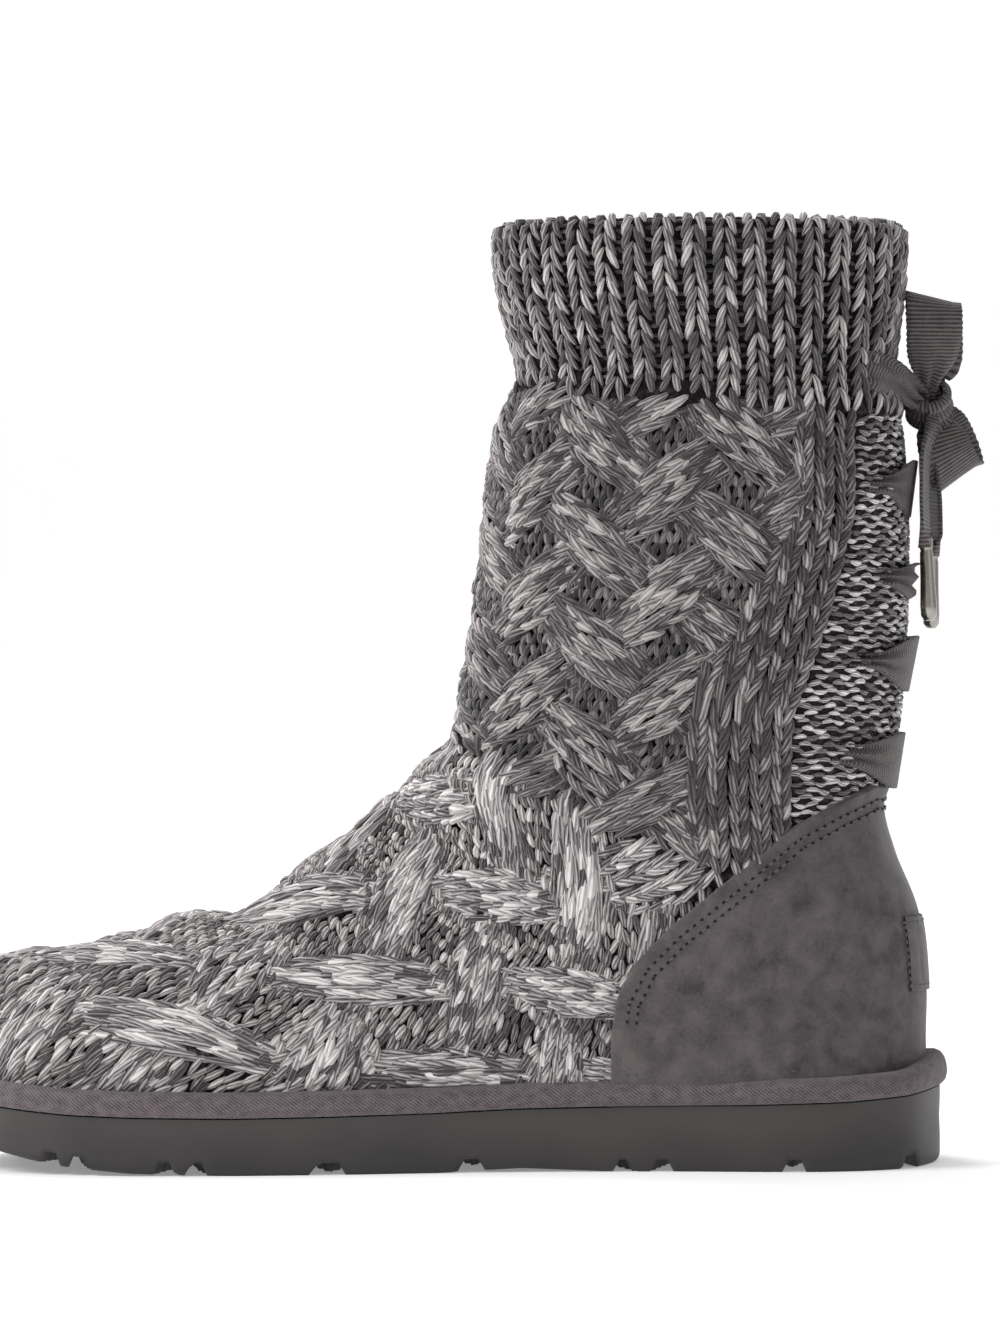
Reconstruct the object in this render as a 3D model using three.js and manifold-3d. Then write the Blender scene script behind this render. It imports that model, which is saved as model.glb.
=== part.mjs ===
// A right knitted boot: plaited leg and foot, ribbed cuff, suede heel counter, rubber outsole with a
// taped edge, and a ribbon in bars up the back, tied in a bow. The toe points to -X, the inner side to -Y,
// the sole is down.
import * as THREE from 'three';
import { mergeVertices } from 'three/addons/utils/BufferGeometryUtils.js';
import Module from 'manifold-3d';

const wasm = await Module();
wasm.setup();

// Driving dimensions of the last and the leg, in millimetres
const soleLength = 274; // outsole, heel end to toe tip
const ballWidth = 100; // outsole across the ball
const heelWidth = 76; // outsole across the heel
const ankleHeight = 118; // floor to the bend above the instep
const legHeight = 138; // from that bend to the top of the cuff
const legDepth = 120; // leg, front to back
const legWidth = 80; // leg, side to side

// Outsole, tape and insole
const soleThickness = 15; // rubber at the ball, floor to the tape
const soleEdge = 1.4; // rounding of the outsole's lower edge
const soleRim = 7.2; // outsole beyond the base of the upper
const lugDepth = 3.2;
const lugGap = 4.5; // grooves across the sole
const tapeHeight = 6.8;
const tapeProud = 2; // tape beyond the outsole's side
const insoleThickness = 4.5;

// Walls, measured out from the base surface of the upper
const liningWall = 3; // backing and fleece inside the base surface
const footKnit = 0.9; // knitted ground of the foot
const legKnit = 1.6; // knitted ground of the leg
const strandRise = 3; // plaited strands above the ground
const plaitWidth = 13.5; // strands of the leg
const weaveWidth = 15; // strands of the foot
const panelKnit = 1.4; // plain knit at the back of the leg
const cuffKnit = 1; // bottom of the cuff's gutters
const ribRise = 1.8;
const ribCount = 38;
const counterStart = 1.2; // inner face of the suede counter
const suede = 2;
const patchThickness = 0.7;
const clearance = 0.3; // between pieces that touch

// Plait of the leg and open weave of the foot. Distances round the boot start at the front of the leg and
// the ridge of the instep, and count as positive on the inner side.
const plaitColumn = 19; // between crossings, round the leg
const plaitPeriod = 28; // between strands of one family, down a column
const plaitDrop = 59.5; // from the cuff's top down to a crossing
const plaitRound = 48; // that crossing, round the leg
const plaitFan = 0.11; // drift of the columns away from the front, down the leg
const weaveAlong = 29; // half of a mesh of the foot's weave, along the foot
const weaveAcross = 17; // half of a mesh, round the foot
const weaveStart = 325; // a crossing, from the cuff's top down the boot's side
const weaveRound = 52; // that crossing, round the foot

// Heel patch and ribbon
const patchLow = 47.5;
const patchHeight = 20;
const patchDepth = 3.4; // reach of the patch's foot forward of the heel's back
const patchLean = 1.9; // reach of its top beyond that
const ribbonWidth = 15.5;
const ribbonThickness = 0.9;
const knotUp = 0.652; // place of the knot's middle on the leg's height
const knotSize = 6.2; // radius
const agletLength = 20;
const agletRadius = 2.3;

const heelX = soleLength / 2;
const bootHeight = ankleHeight + legHeight;
const knotHeight = ankleHeight + knotUp * legHeight;
const gap = clearance / 2;
const meshTolerance = 0.05; // how far merged facets may stray

// Rings of the leg: height above the bend, front and back from the heel's end, half width
const legRows = [
  { up: 1.05, front: 0.996, back: 0.104, wide: 1.01 },
  { up: 0.92, front: 0.996, back: 0.104, wide: 1.01 },
  { up: 0.81, front: 0.971, back: 0.117, wide: 0.99 },
  { up: 0.7, front: 0.942, back: 0.129, wide: 0.965 },
  { up: 0.595, front: 0.992, back: 0.1, wide: 0.985 },
  { up: 0.45, front: 1.018, back: 0.0875, wide: 1 },
  { up: 0.305, front: 1.035, back: 0.085, wide: 1 },
  { up: 0.16, front: 1.058, back: 0.092, wide: 1 },
  { up: 0.058, front: 1.079, back: 0.1, wide: 0.99 },
];

// Rings of the ankle and foot, fanned round the bend. top and end are places along the sole from the
// heel, high and low their heights, wide and foot half widths, ball the share of ballWidth in them, at the
// place of the widest point down the ring and off the middle's shift to the outer side.
const footRows = [
  { top: 0.478, high: 0.995, end: 0.053, low: 0.932, wide: 1.266, foot: 0, ball: 0, at: 0.5, off: 0 },
  { top: 0.493, high: 0.95, end: 0.066, low: 0.83, wide: 1.25, foot: 0, ball: 0, at: 0.5, off: 0 },
  { top: 0.515, high: 0.912, end: 0.055, low: 0.712, wide: 1.23, foot: 0, ball: 0, at: 0.5, off: 0 },
  { top: 0.529, high: 0.875, end: 0.033, low: 0.576, wide: 1.2, foot: 0, ball: 0, at: 0.5, off: 0 },
  { top: 0.538, high: 0.845, end: 0.0255, low: 0.424, wide: 1.17, foot: 0, ball: 0, at: 0.52, off: 0 },
  { top: 0.547, high: 0.82, end: 0.026, low: 0.288, wide: 1.15, foot: 0, ball: 0, at: 0.54, off: 0 },
  { top: 0.557, high: 0.8, end: 0.0263, low: 0.15, wide: 1.14, foot: 0, ball: 0, at: 0.56, off: 0 },
  { top: 0.566, high: 0.784, end: 0.047, low: 0.12, wide: 1.14, foot: 0.6, ball: 0, at: 0.57, off: 0 },
  { top: 0.577, high: 0.769, end: 0.0985, low: 0.11, wide: 1.14, foot: 0.93, ball: 0, at: 0.58, off: 0 },
  { top: 0.591, high: 0.745, end: 0.1715, low: 0.11, wide: 1.14, foot: 1, ball: 0, at: 0.6, off: 0 },
  { top: 0.609, high: 0.722, end: 0.252, low: 0.11, wide: 1.15, foot: 0.98, ball: 0, at: 0.61, off: 0.01 },
  { top: 0.635, high: 0.679, end: 0.354, low: 0.105, wide: 1.1, foot: 0.93, ball: 0.25, at: 0.62, off: 0.02 },
  { top: 0.668, high: 0.61, end: 0.471, low: 0.1, wide: 1.06, foot: 0.91, ball: 0.6, at: 0.65, off: 0.025 },
  { top: 0.704, high: 0.56, end: 0.5875, low: 0.09, wide: 1.01, foot: 0.935, ball: 1, at: 0.67, off: 0.018 },
  { top: 0.748, high: 0.55, end: 0.704, low: 0.085, wide: 1.04, foot: 1, ball: 1, at: 0.68, off: 0.004 },
  { top: 0.807, high: 0.513, end: 0.792, low: 0.085, wide: 1.02, foot: 0.98, ball: 1, at: 0.68, off: -0.008 },
  { top: 0.865, high: 0.487, end: 0.865, low: 0.09, wide: 0.915, foot: 0.875, ball: 1, at: 0.67, off: -0.03 },
  { top: 0.912, high: 0.47, end: 0.92, low: 0.1, wide: 0.735, foot: 0.7, ball: 1, at: 0.66, off: -0.05 },
  { top: 0.946, high: 0.43, end: 0.95, low: 0.11, wide: 0.52, foot: 0.49, ball: 1, at: 0.63, off: -0.065 },
  { top: 0.966, high: 0.339, end: 0.9675, low: 0.12, wide: 0.29, foot: 0.27, ball: 1, at: 0.6, off: -0.075 },
  { top: 0.9737, high: 0.24, end: 0.9737, low: 0.16, wide: 0.02, foot: 0, ball: 1, at: 0.5, off: -0.08 },
];

// Rubber under the tape: heights of its top and bottom along the sole, as shares of its thickness
const soleRows = [
  { along: -0.03, top: 1.43, low: 0 },
  { along: 0, top: 1.4, low: 0 },
  { along: 0.04, top: 1.3, low: 0 },
  { along: 0.1, top: 1.23, low: 0 },
  { along: 0.2, top: 1.18, low: 0 },
  { along: 0.33, top: 1.15, low: 0 },
  { along: 0.42, top: 1.12, low: 0.07 },
  { along: 0.5, top: 1.06, low: 0 },
  { along: 0.6, top: 1.02, low: 0 },
  { along: 0.7, top: 1, low: 0 },
  { along: 0.8, top: 1.02, low: 0.04 },
  { along: 0.86, top: 1.06, low: 0.14 },
  { along: 0.9, top: 1.12, low: 0.27 },
  { along: 0.95, top: 1.22, low: 0.48 },
  { along: 1, top: 1.36, low: 0.7 },
  { along: 1.03, top: 1.42, low: 0.8 },
];

// Grooves across the sole, from the heel's end, and their slant
const lugRows = [
  { along: 0.06, slant: 0.25 },
  { along: 0.12, slant: -0.25 },
  { along: 0.185, slant: 0.25 },
  { along: 0.25, slant: -0.25 },
  { along: 0.36, slant: 0.3 },
  { along: 0.43, slant: -0.3 },
  { along: 0.5, slant: 0.25 },
  { along: 0.56, slant: -0.25 },
  { along: 0.655, slant: 0.25 },
  { along: 0.72, slant: -0.25 },
  { along: 0.78, slant: 0.25 },
  { along: 0.835, slant: -0.25 },
  { along: 0.885, slant: 0.2 },
  { along: 0.935, slant: -0.2 },
];

// Cuts seen from the side: along the sole from the heel's end, and up as a share of ankleHeight
const ankleSeam = [
  { along: 0.64, up: 1.02 },
  { along: 0.5, up: 0.99 },
  { along: 0.4, up: 0.869 },
  { along: 0.304, up: 0.754 },
  { along: 0.206, up: 0.665 },
  { along: 0.1, up: 0.56 },
  { along: -0.04, up: 0.46 },
];
const counterEdge = [
  { along: -0.04, up: 0.865 },
  { along: 0.069, up: 0.868 },
  { along: 0.11, up: 0.83 },
  { along: 0.155, up: 0.777 },
  { along: 0.218, up: 0.657 },
  { along: 0.273, up: 0.555 },
  { along: 0.307, up: 0.475 },
  { along: 0.326, up: 0.39 },
  { along: 0.331, up: 0.3 },
  { along: 0.331, up: -0.1 },
];

// Edge of the plain back panel: back from the front of the leg as a share of legDepth, up above the bend
const panelEdge = [
  { back: 0.21, up: 0.9 },
  { back: 0.21, up: 0.42 },
  { back: 0.262, up: 0.25 },
  { back: 0.307, up: 0.126 },
  { back: 0.35, up: 0.03 },
  { back: 0.358, up: -0.1 },
  { back: 0.352, up: -0.2 },
  { back: 0.34, up: -0.45 },
];

// Lower edge of the cuff
const cuffEdge = [
  { back: 1.3, up: 0.675 },
  { back: 0.97, up: 0.672 },
  { back: 0.73, up: 0.645 },
  { back: 0.48, up: 0.63 },
  { back: 0.22, up: 0.62 },
  { back: -0.2, up: 0.615 },
];

// Bars of ribbon over the back, from the lowest up: place on the leg's height at the slits and in the
// middle, slits round the leg from its back in half turns, shares of the width that aren't gathered at
// the slits and in the middle, and how far the upper edge stands off
const barRows = [
  { slitUp: -0.051, backUp: -0.054, turn: 0.235, slitOpen: 0.4, backOpen: 1, stand: 2.4 },
  { slitUp: 0.138, backUp: 0.134, turn: 0.225, slitOpen: 0.25, backOpen: 1, stand: 3 },
  { slitUp: 0.301, backUp: 0.297, turn: 0.18, slitOpen: 0.3, backOpen: 0.65, stand: 1.6 },
  { slitUp: 0.482, backUp: 0.478, turn: 0.2, slitOpen: 0.3, backOpen: 1, stand: 2 },
  { slitUp: 0.696, backUp: 0.645, turn: 0.19, slitOpen: 0.55, backOpen: 0.6, stand: 0 },
];

// Bow: routes of its bands out behind the leg, to the outer side and up from the knot, with the direction
// of the ribbon's width and the share of that width that isn't gathered
const upperLoop = [
  { out: 6, side: -4.4, up: 5.6, wideX: 0.9, wideY: 0.1, wideZ: 0.3, open: 0.5 },
  { out: 6.8, side: -8, up: 12, wideX: 0.95, wideY: 0.1, wideZ: 0.05, open: 0.9 },
  { out: 7, side: -12.5, up: 20, wideX: 1, wideY: 0, wideZ: -0.1, open: 1 },
  { out: 7, side: -11, up: 26.5, wideX: 1, wideY: 0, wideZ: -0.22, open: 1 },
  { out: 7.2, side: -5, up: 27.5, wideX: 1, wideY: 0, wideZ: -0.25, open: 1 },
  { out: 8, side: -1.5, up: 19, wideX: 0.97, wideY: 0.1, wideZ: -0.2, open: 1 },
  { out: 8.5, side: -0.8, up: 11, wideX: 0.9, wideY: 0.2, wideZ: 0, open: 0.9 },
  { out: 7, side: -0.5, up: 6.9, wideX: 0.9, wideY: 0.3, wideZ: 0.1, open: 0.5 },
];
const lowerLoop = [
  { out: 8, side: 5.5, up: -1, wideX: 0.75, wideY: 0.1, wideZ: 0.55, open: 0.45 },
  { out: 11, side: 9.5, up: -6, wideX: 0.8, wideY: 0.1, wideZ: 0.58, open: 0.9 },
  { out: 14, side: 14, up: -12.5, wideX: 0.81, wideY: 0, wideZ: 0.59, open: 1 },
  { out: 15.5, side: 13.5, up: -18.5, wideX: 0.81, wideY: 0, wideZ: 0.59, open: 1 },
  { out: 15, side: 8.5, up: -19.8, wideX: 0.81, wideY: 0, wideZ: 0.59, open: 1 },
  { out: 12, side: 3.5, up: -15, wideX: 0.81, wideY: 0.1, wideZ: 0.57, open: 1 },
  { out: 9.8, side: 2.5, up: -8.5, wideX: 0.8, wideY: 0.2, wideZ: 0.5, open: 0.9 },
  { out: 9, side: 4, up: -3.5, wideX: 0.75, wideY: 0.2, wideZ: 0.5, open: 0.45 },
];
const innerTail = [
  { out: 7.5, side: -2.5, up: -5.5, wideX: 0.2, wideY: 0.98, wideZ: 0, open: 0.35 },
  { out: 5.2, side: -6, up: -14, wideX: 0.2, wideY: 0.98, wideZ: 0, open: 0.9 },
  { out: 4.6, side: -8, up: -24, wideX: 0.2, wideY: 0.98, wideZ: 0, open: 1 },
  { out: 4.7, side: -9, up: -33, wideX: 0.2, wideY: 0.98, wideZ: 0, open: 1 },
  { out: 5, side: -9, up: -40, wideX: 0.2, wideY: 0.98, wideZ: 0, open: 0.5 },
];
const outerTail = [
  { out: 6.5, side: 3.5, up: -6.2, wideX: -0.25, wideY: 0.97, wideZ: 0, open: 0.35 },
  { out: 7, side: 8.5, up: -16, wideX: -0.25, wideY: 0.97, wideZ: 0, open: 0.9 },
  { out: 8, side: 10.5, up: -26, wideX: -0.25, wideY: 0.97, wideZ: 0, open: 1 },
  { out: 8.3, side: 11, up: -36, wideX: -0.25, wideY: 0.97, wideZ: 0, open: 1 },
  { out: 8.2, side: 11, up: -42, wideX: -0.25, wideY: 0.97, wideZ: 0, open: 0.5 },
];

// Small helpers

const mix = (a, b, share) => a + (b - a) * share;
const clamp = (value, low, high) => Math.min(Math.max(value, low), high);
const smooth = (low, high, value) => {
  const share = clamp((value - low) / (high - low), 0, 1);
  return share * share * (3 - 2 * share);
};
const alongX = (share) => heelX - share * soleLength;

// Straight interpolation in a table of points sorted by key
function lookUp(points, value) {
  const last = points.length - 1;
  let i = 0;
  while (i < last - 1 && value > points[i + 1][0]) i += 1;
  const [x0, y0] = points[i];
  const [x1, y1] = points[i + 1];
  return mix(y0, y1, clamp((value - x0) / (x1 - x0), 0, 1));
}
const soleTopPoints = soleRows.map((row) => [row.along, row.top * soleThickness]);
const soleLowPoints = soleRows.map((row) => [row.along, row.low * soleThickness]);
const soleTopAt = (x) => lookUp(soleTopPoints, (heelX - x) / soleLength);
const soleLowAt = (x) => lookUp(soleLowPoints, (heelX - x) / soleLength);

// Rings in millimetres
const rings = [];
for (const row of legRows) {
  const z = ankleHeight + row.up * legHeight;
  rings.push([
    heelX - row.front * legDepth, z, heelX - row.back * legDepth, z,
    row.wide * legWidth / 2, 0, 0.5, 0,
  ]);
}
for (const row of footRows) {
  const half = mix(heelWidth, ballWidth, row.ball) / 2 - soleRim;
  rings.push([
    alongX(row.top), row.high * ankleHeight, alongX(row.end), row.low * ankleHeight,
    row.wide * half, row.foot * half, row.at, row.off * ballWidth,
  ]);
}
const firstRing = 0;
const lastRing = rings.length - 1;
// The ring that ends in the corner under the heel
const bottomRing = legRows.length + footRows.findIndex((row) => row.low < 0.2);

// Smooth curve through the rings' values, t counted in rings
function ringAt(t) {
  const i = clamp(Math.floor(t), 0, lastRing - 1);
  const u = clamp(t, 0, lastRing) - i;
  const before = rings[Math.max(i - 1, 0)];
  const after = rings[Math.min(i + 2, lastRing)];
  return rings[i].map((value, k) => {
    const next = rings[i + 1][k];
    const slopeIn = (next - before[k]) / 2;
    const slopeOut = (after[k] - value) / 2;
    const u2 = u * u;
    const u3 = u2 * u;
    return (2 * u3 - 3 * u2 + 1) * value + (u3 - 2 * u2 + u) * slopeIn
      + (3 * u2 - 2 * u3) * next + (u3 - u2) * slopeOut;
  });
}

// Point of the base surface: t along the rings, turn 0 at the front to 1 at the back or the sole,
// side -1 the inner side and 1 the outer
const heelRoundness = 2 / 2.35;
function basePoint(t, turn, side) {
  const [topX, topZ, endX, endZ, wide, foot, at, swing] = ringAt(t);
  let down;
  let half;
  if (turn < 0.5) {
    down = at * (1 - Math.cos(Math.PI * turn));
    half = wide * Math.sin(Math.PI * turn);
  } else {
    const angle = Math.PI * (turn - 0.5);
    down = at + (1 - at) * Math.sin(angle) ** heelRoundness;
    half = foot + (wide - foot) * Math.max(Math.cos(angle), 0) ** heelRoundness;
  }
  const y = side * Math.max(half, 0) + swing;
  return new THREE.Vector3(mix(topX, endX, down), y, mix(topZ, endZ, down));
}

function baseNormal(t, turn, side) {
  const step = 0.02;
  const t0 = clamp(t - step, 0, lastRing);
  const t1 = clamp(t + step, 0, lastRing);
  const turn0 = clamp(turn - step, 0, 1);
  const turn1 = clamp(turn + step, 0, 1);
  const alongRings = basePoint(t1, turn, side).sub(basePoint(t0, turn, side));
  const roundRing = basePoint(t, turn1, side).sub(basePoint(t, turn0, side));
  const normal = roundRing.cross(alongRings).multiplyScalar(side);
  if (turn === 0 || (turn === 1 && t <= bottomRing)) normal.y = 0;
  return normal.normalize();
}

// Length round the ring from the front or the instep's ridge, and along the middle of the side
function girthAt(t, turn, side) {
  const steps = 12;
  let length = 0;
  let last = basePoint(t, 0, side);
  for (let i = 1; i <= steps; i += 1) {
    const next = basePoint(t, turn * i / steps, side);
    length += next.distanceTo(last);
    last = next;
  }
  return length;
}
const sideTurn = 0.42;
const alongTable = [[0, 0]];
const alongStep = 0.25;
for (let t = alongStep; t <= lastRing; t += alongStep) {
  const step = basePoint(t, sideTurn, -1).distanceTo(basePoint(t - alongStep, sideTurn, -1));
  alongTable.push([t, alongTable[alongTable.length - 1][1] + step]);
}
const alongAt = (t) => lookUp(alongTable, t);

// A strand's crown: 1 on its middle line, 0 past its edge
function crown(distance, width) {
  const share = clamp(Math.abs(distance) / (width / 2), 0, 1);
  return Math.sqrt(1 - share ** 3);
}
const wrap = (value, period) => value - period * Math.round(value / period);

// Height of two crossing families of strands. a and b are counted in half meshes: the families run along
// a + b and a - b, and strands of the first lie over the second where a is even.
function weaveHeight(a, b, halfA, halfB, width) {
  const slant = halfA * halfB / Math.hypot(halfA, halfB);
  const first = crown(wrap(a + b, 2) * slant, width);
  const second = crown(wrap(a - b, 2) * slant, width);
  const over = Math.cos(Math.PI * a);
  const firstHeight = first * (0.6 + 0.4 * over);
  const secondHeight = second * (0.6 - 0.4 * over);
  return Math.max(firstHeight, secondHeight);
}

// Relief of the leg's plait: columns round the leg, strands down it
function plaitRelief(t, turn, side) {
  const round = -side * girthAt(t, turn, side);
  const down = bootHeight - basePoint(t, turn, side).z - plaitDrop;
  const fan = plaitFan * (down - plaitPeriod) * Math.tanh(round / plaitColumn);
  const column = (round - plaitRound - fan) / plaitColumn;
  const level = -down / (plaitPeriod / 2);
  const height = weaveHeight(column, level, plaitColumn, plaitPeriod / 2, plaitWidth);
  return legKnit + strandRise * height;
}

// Lines across the foot's weave lean back towards the sole behind the instep, and forward before the toe
const weaveLean = [[200, 0.8], [310, -0.5]];

// Relief of the foot's weave, let down where the tape and the toe's tip begin
function weaveRelief(t, turn, side) {
  const girth = girthAt(t, turn, side);
  const down = alongAt(t);
  const a = (down - lookUp(weaveLean, down) * (girth - weaveRound) - weaveStart) / weaveAlong;
  const b = (-side * girth - weaveRound) / weaveAcross;
  const point = basePoint(t, turn, side);
  const fade = smooth(tapeHeight * 0.5, tapeHeight * 1.6, point.z - soleTopAt(point.x));
  const tip = smooth(0, 1, lastRing - t);
  const height = weaveHeight(a, b, weaveAlong, weaveAcross, weaveWidth);
  return footKnit + strandRise * height * fade * tip;
}

// Ribs of the cuff
function cuffRelief(t, turn, side) {
  const round = girthAt(t, turn, side) / girthAt(t, 1, side) * ribCount / 2;
  return cuffKnit + ribRise * Math.abs(Math.cos(Math.PI * round)) ** 0.7;
}

// Solids

function toSolid(geometry) {
  geometry.deleteAttribute('normal');
  geometry.deleteAttribute('uv');
  const merged = mergeVertices(geometry.index ? geometry.toNonIndexed() : geometry, 1e-4);
  const corners = merged.index.array;
  const kept = [];
  for (let i = 0; i < corners.length; i += 3) {
    const [a, b, c] = [corners[i], corners[i + 1], corners[i + 2]];
    if (a !== b && b !== c && c !== a) kept.push(a, b, c);
  }
  const mesh = new wasm.Mesh({
    numProp: 3,
    vertProperties: new Float32Array(merged.attributes.position.array),
    triVerts: new Uint32Array(kept),
  });
  return new wasm.Manifold(mesh);
}

// The largest body of a solid: crumbs that a cut leaves are dropped
function wholeBody(solid) {
  return solid.decompose().sort((a, b) => b.volume() - a.volume())[0];
}

function toGeometry(solid) {
  const mesh = wholeBody(solid).simplify(meshTolerance).getMesh();
  const geometry = new THREE.BufferGeometry();
  geometry.setAttribute('position', new THREE.BufferAttribute(new Float32Array(mesh.vertProperties), 3));
  geometry.setIndex(new THREE.BufferAttribute(new Uint32Array(mesh.triVerts), 1));
  geometry.computeVertexNormals();
  return geometry;
}

// Closed body through closed sections of equally many points. A ring of sections closes on itself,
// other bodies get a flat cap at each end.
function bodyThrough(sections, isRing = false) {
  const count = sections[0].length;
  const points = sections.flat();
  const faces = [];
  const quads = isRing ? sections.length : sections.length - 1;
  for (let i = 0; i < quads; i += 1) {
    const here = i * count;
    const next = ((i + 1) % sections.length) * count;
    for (let j = 0; j < count; j += 1) {
      const k = (j + 1) % count;
      faces.push([here + j, here + k, next + k], [here + j, next + k, next + j]);
    }
  }
  if (!isRing) {
    const end = (sections.length - 1) * count;
    for (let j = 1; j < count / 2; j += 1) {
      const k = count - j;
      if (j + 1 <= k - 1) {
        faces.push([j, k, k - 1], [j, k - 1, j + 1]);
        faces.push([end + j, end + k - 1, end + k], [end + j, end + j + 1, end + k - 1]);
      }
    }
    faces.push([0, count - 1, 1], [end, end + 1, end + count - 1]);
  }
  const position = new Float32Array(faces.length * 9);
  faces.forEach((face, i) => {
    face.forEach((corner, j) => points[corner].toArray(position, i * 9 + j * 3));
  });
  const geometry = new THREE.BufferGeometry();
  geometry.setAttribute('position', new THREE.BufferAttribute(position, 3));
  const solid = toSolid(geometry);
  if (solid.volume() >= 0) return solid;
  const flipped = new Float32Array(position.length);
  for (let i = 0; i < position.length; i += 9) {
    flipped.set(position.subarray(i, i + 3), i);
    flipped.set(position.subarray(i + 6, i + 9), i + 3);
    flipped.set(position.subarray(i + 3, i + 6), i + 6);
  }
  const turned = new THREE.BufferGeometry();
  turned.setAttribute('position', new THREE.BufferAttribute(flipped, 3));
  return toSolid(turned);
}

// Solid of the last, swelled by a height over its base surface
function lastSolid(from, to, ringCount, turnCount, heightOf) {
  const sections = [];
  for (let i = 0; i <= ringCount; i += 1) {
    const t = mix(from, to, i / ringCount);
    const section = [];
    const add = (turn, side) => {
      const point = basePoint(t, turn, side);
      section.push(point.addScaledVector(baseNormal(t, turn, side), heightOf(t, turn, side)));
    };
    for (let j = 0; j <= turnCount; j += 1) add(j / turnCount, -1);
    for (let j = turnCount; j > 0; j -= 1) add(j / turnCount, 1);
    sections.push(section);
  }
  return bodyThrough(sections);
}
const swelled = (height, rows = 30, turns = 10) => lastSolid(firstRing, lastRing, rows, turns, () => height);

// Prism across the boot with an outline given in the side view
function sideCut(outline, depth = ballWidth * 2) {
  const shape = new THREE.Shape(outline.map(([x, z]) => new THREE.Vector2(x, z)));
  const geometry = new THREE.ExtrudeGeometry(shape, { depth, bevelEnabled: false });
  geometry.rotateX(Math.PI / 2);
  geometry.translate(0, depth / 2, 0);
  return toSolid(geometry);
}
const seamPoints = ankleSeam.map((row) => [alongX(row.along), row.up * ankleHeight]);
const counterPoints = counterEdge.map((row) => [alongX(row.along), row.up * ankleHeight]);
const legPoint = (row) => [heelX - row.back * legDepth, ankleHeight + row.up * legHeight];
const panelPoints = panelEdge.map(legPoint);
const cuffPoints = cuffEdge.map(legPoint);
const soleTopLine = soleRows.map((row) => [alongX(row.along), row.top * soleThickness]);

const above = bootHeight * 2;
const beyond = soleLength;

// A cutting line moved up and run on to both sides of the boot, or moved back and run on up and down
function levelLine(points, by) {
  const line = points.map(([x, z]) => [x, z + by]).sort((a, b) => a[0] - b[0]);
  return [[-beyond, line[0][1]], ...line, [beyond, line[line.length - 1][1]]];
}
function uprightLine(points, by) {
  const line = points.map(([x, z]) => [x + by, z]);
  return [[line[0][0], above], ...line, [line[line.length - 1][0], -above]];
}
const aboveSole = sideCut([...levelLine(soleTopLine, clearance), [beyond, above], [-beyond, above]]);
const belowSeam = sideCut([...levelLine(seamPoints, -gap), [beyond, -above], [-beyond, -above]]);
const aboveSeam = sideCut([...levelLine(seamPoints, gap), [beyond, above], [-beyond, above]]);
const belowCuff = sideCut([...levelLine(cuffPoints, -gap), [beyond, -above], [-beyond, -above]]);
const cuffZone = sideCut([...levelLine(cuffPoints, gap), [beyond, bootHeight], [-beyond, bootHeight]]);
const panelZone = sideCut([...uprightLine(panelPoints, gap), [beyond, -above], [beyond, above]]);
const legZone = sideCut([...uprightLine(panelPoints, -gap), [-beyond, -above], [-beyond, above]]);

// Counter's outline, grown outward by a margin
function counterZone(margin) {
  const outline = counterPoints.map(([x, z], i) => {
    const last = counterPoints[Math.max(i - 1, 0)];
    const next = counterPoints[Math.min(i + 1, counterPoints.length - 1)];
    const length = Math.hypot(next[0] - last[0], next[1] - last[1]);
    return [x + (next[1] - last[1]) / length * margin, z - (next[0] - last[0]) / length * margin];
  });
  return sideCut([...outline, [beyond, -above], [beyond, outline[0][1]]]);
}

const innerRings = 27;
const innerTurns = 7;
const fineRings = 40;
const fineTurns = 24;
const hollow = swelled(-liningWall, innerRings, innerTurns);
const counterRoom = counterStart + suede + strandRise * 2;
const underCounter = swelled(counterRoom).subtract(swelled(counterStart - clearance))
  .intersect(counterZone(clearance));

const cuffTurns = ribCount * 2;
const cuffRows = 5;
const footStart = legRows.length - 1;
const cuffRing = rings.findIndex((ring) => ring[1] < cuffPoints[cuffPoints.length - 1][1]) + 0.5;
const legStart = rings.findIndex((ring) => ring[1] < cuffPoints[0][1]) - 2;

function makeFoot() {
  return lastSolid(footStart, lastRing, 32, 16, weaveRelief).subtract(hollow)
    .intersect(belowSeam).intersect(aboveSole).subtract(underCounter);
}

function makeLeg() {
  return lastSolid(legStart, bottomRing, 24, 26, plaitRelief).subtract(hollow)
    .intersect(aboveSeam).intersect(belowCuff).intersect(legZone).subtract(underCounter);
}

function makeBackPanel() {
  return lastSolid(legStart, bottomRing, 16, 10, () => panelKnit).subtract(hollow)
    .intersect(aboveSeam).intersect(belowCuff).intersect(panelZone).subtract(underCounter);
}

function makeCuff() {
  const outside = lastSolid(firstRing, cuffRing, cuffRows, cuffTurns, cuffRelief);
  return outside.subtract(hollow).intersect(cuffZone);
}

function makeCounter() {
  return swelled(counterStart + suede).subtract(swelled(counterStart))
    .intersect(counterZone(0)).intersect(aboveSole);
}

function makePatch() {
  const inside = counterStart + suede + clearance;
  const front = basePoint(bottomRing - 1, 1, 1).x - patchDepth;
  const outline = [
    [front, patchLow],
    [beyond, patchLow],
    [beyond, patchLow + patchHeight],
    [front - patchLean, patchLow + patchHeight],
  ];
  return swelled(inside + patchThickness).subtract(swelled(inside)).intersect(sideCut(outline));
}

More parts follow.
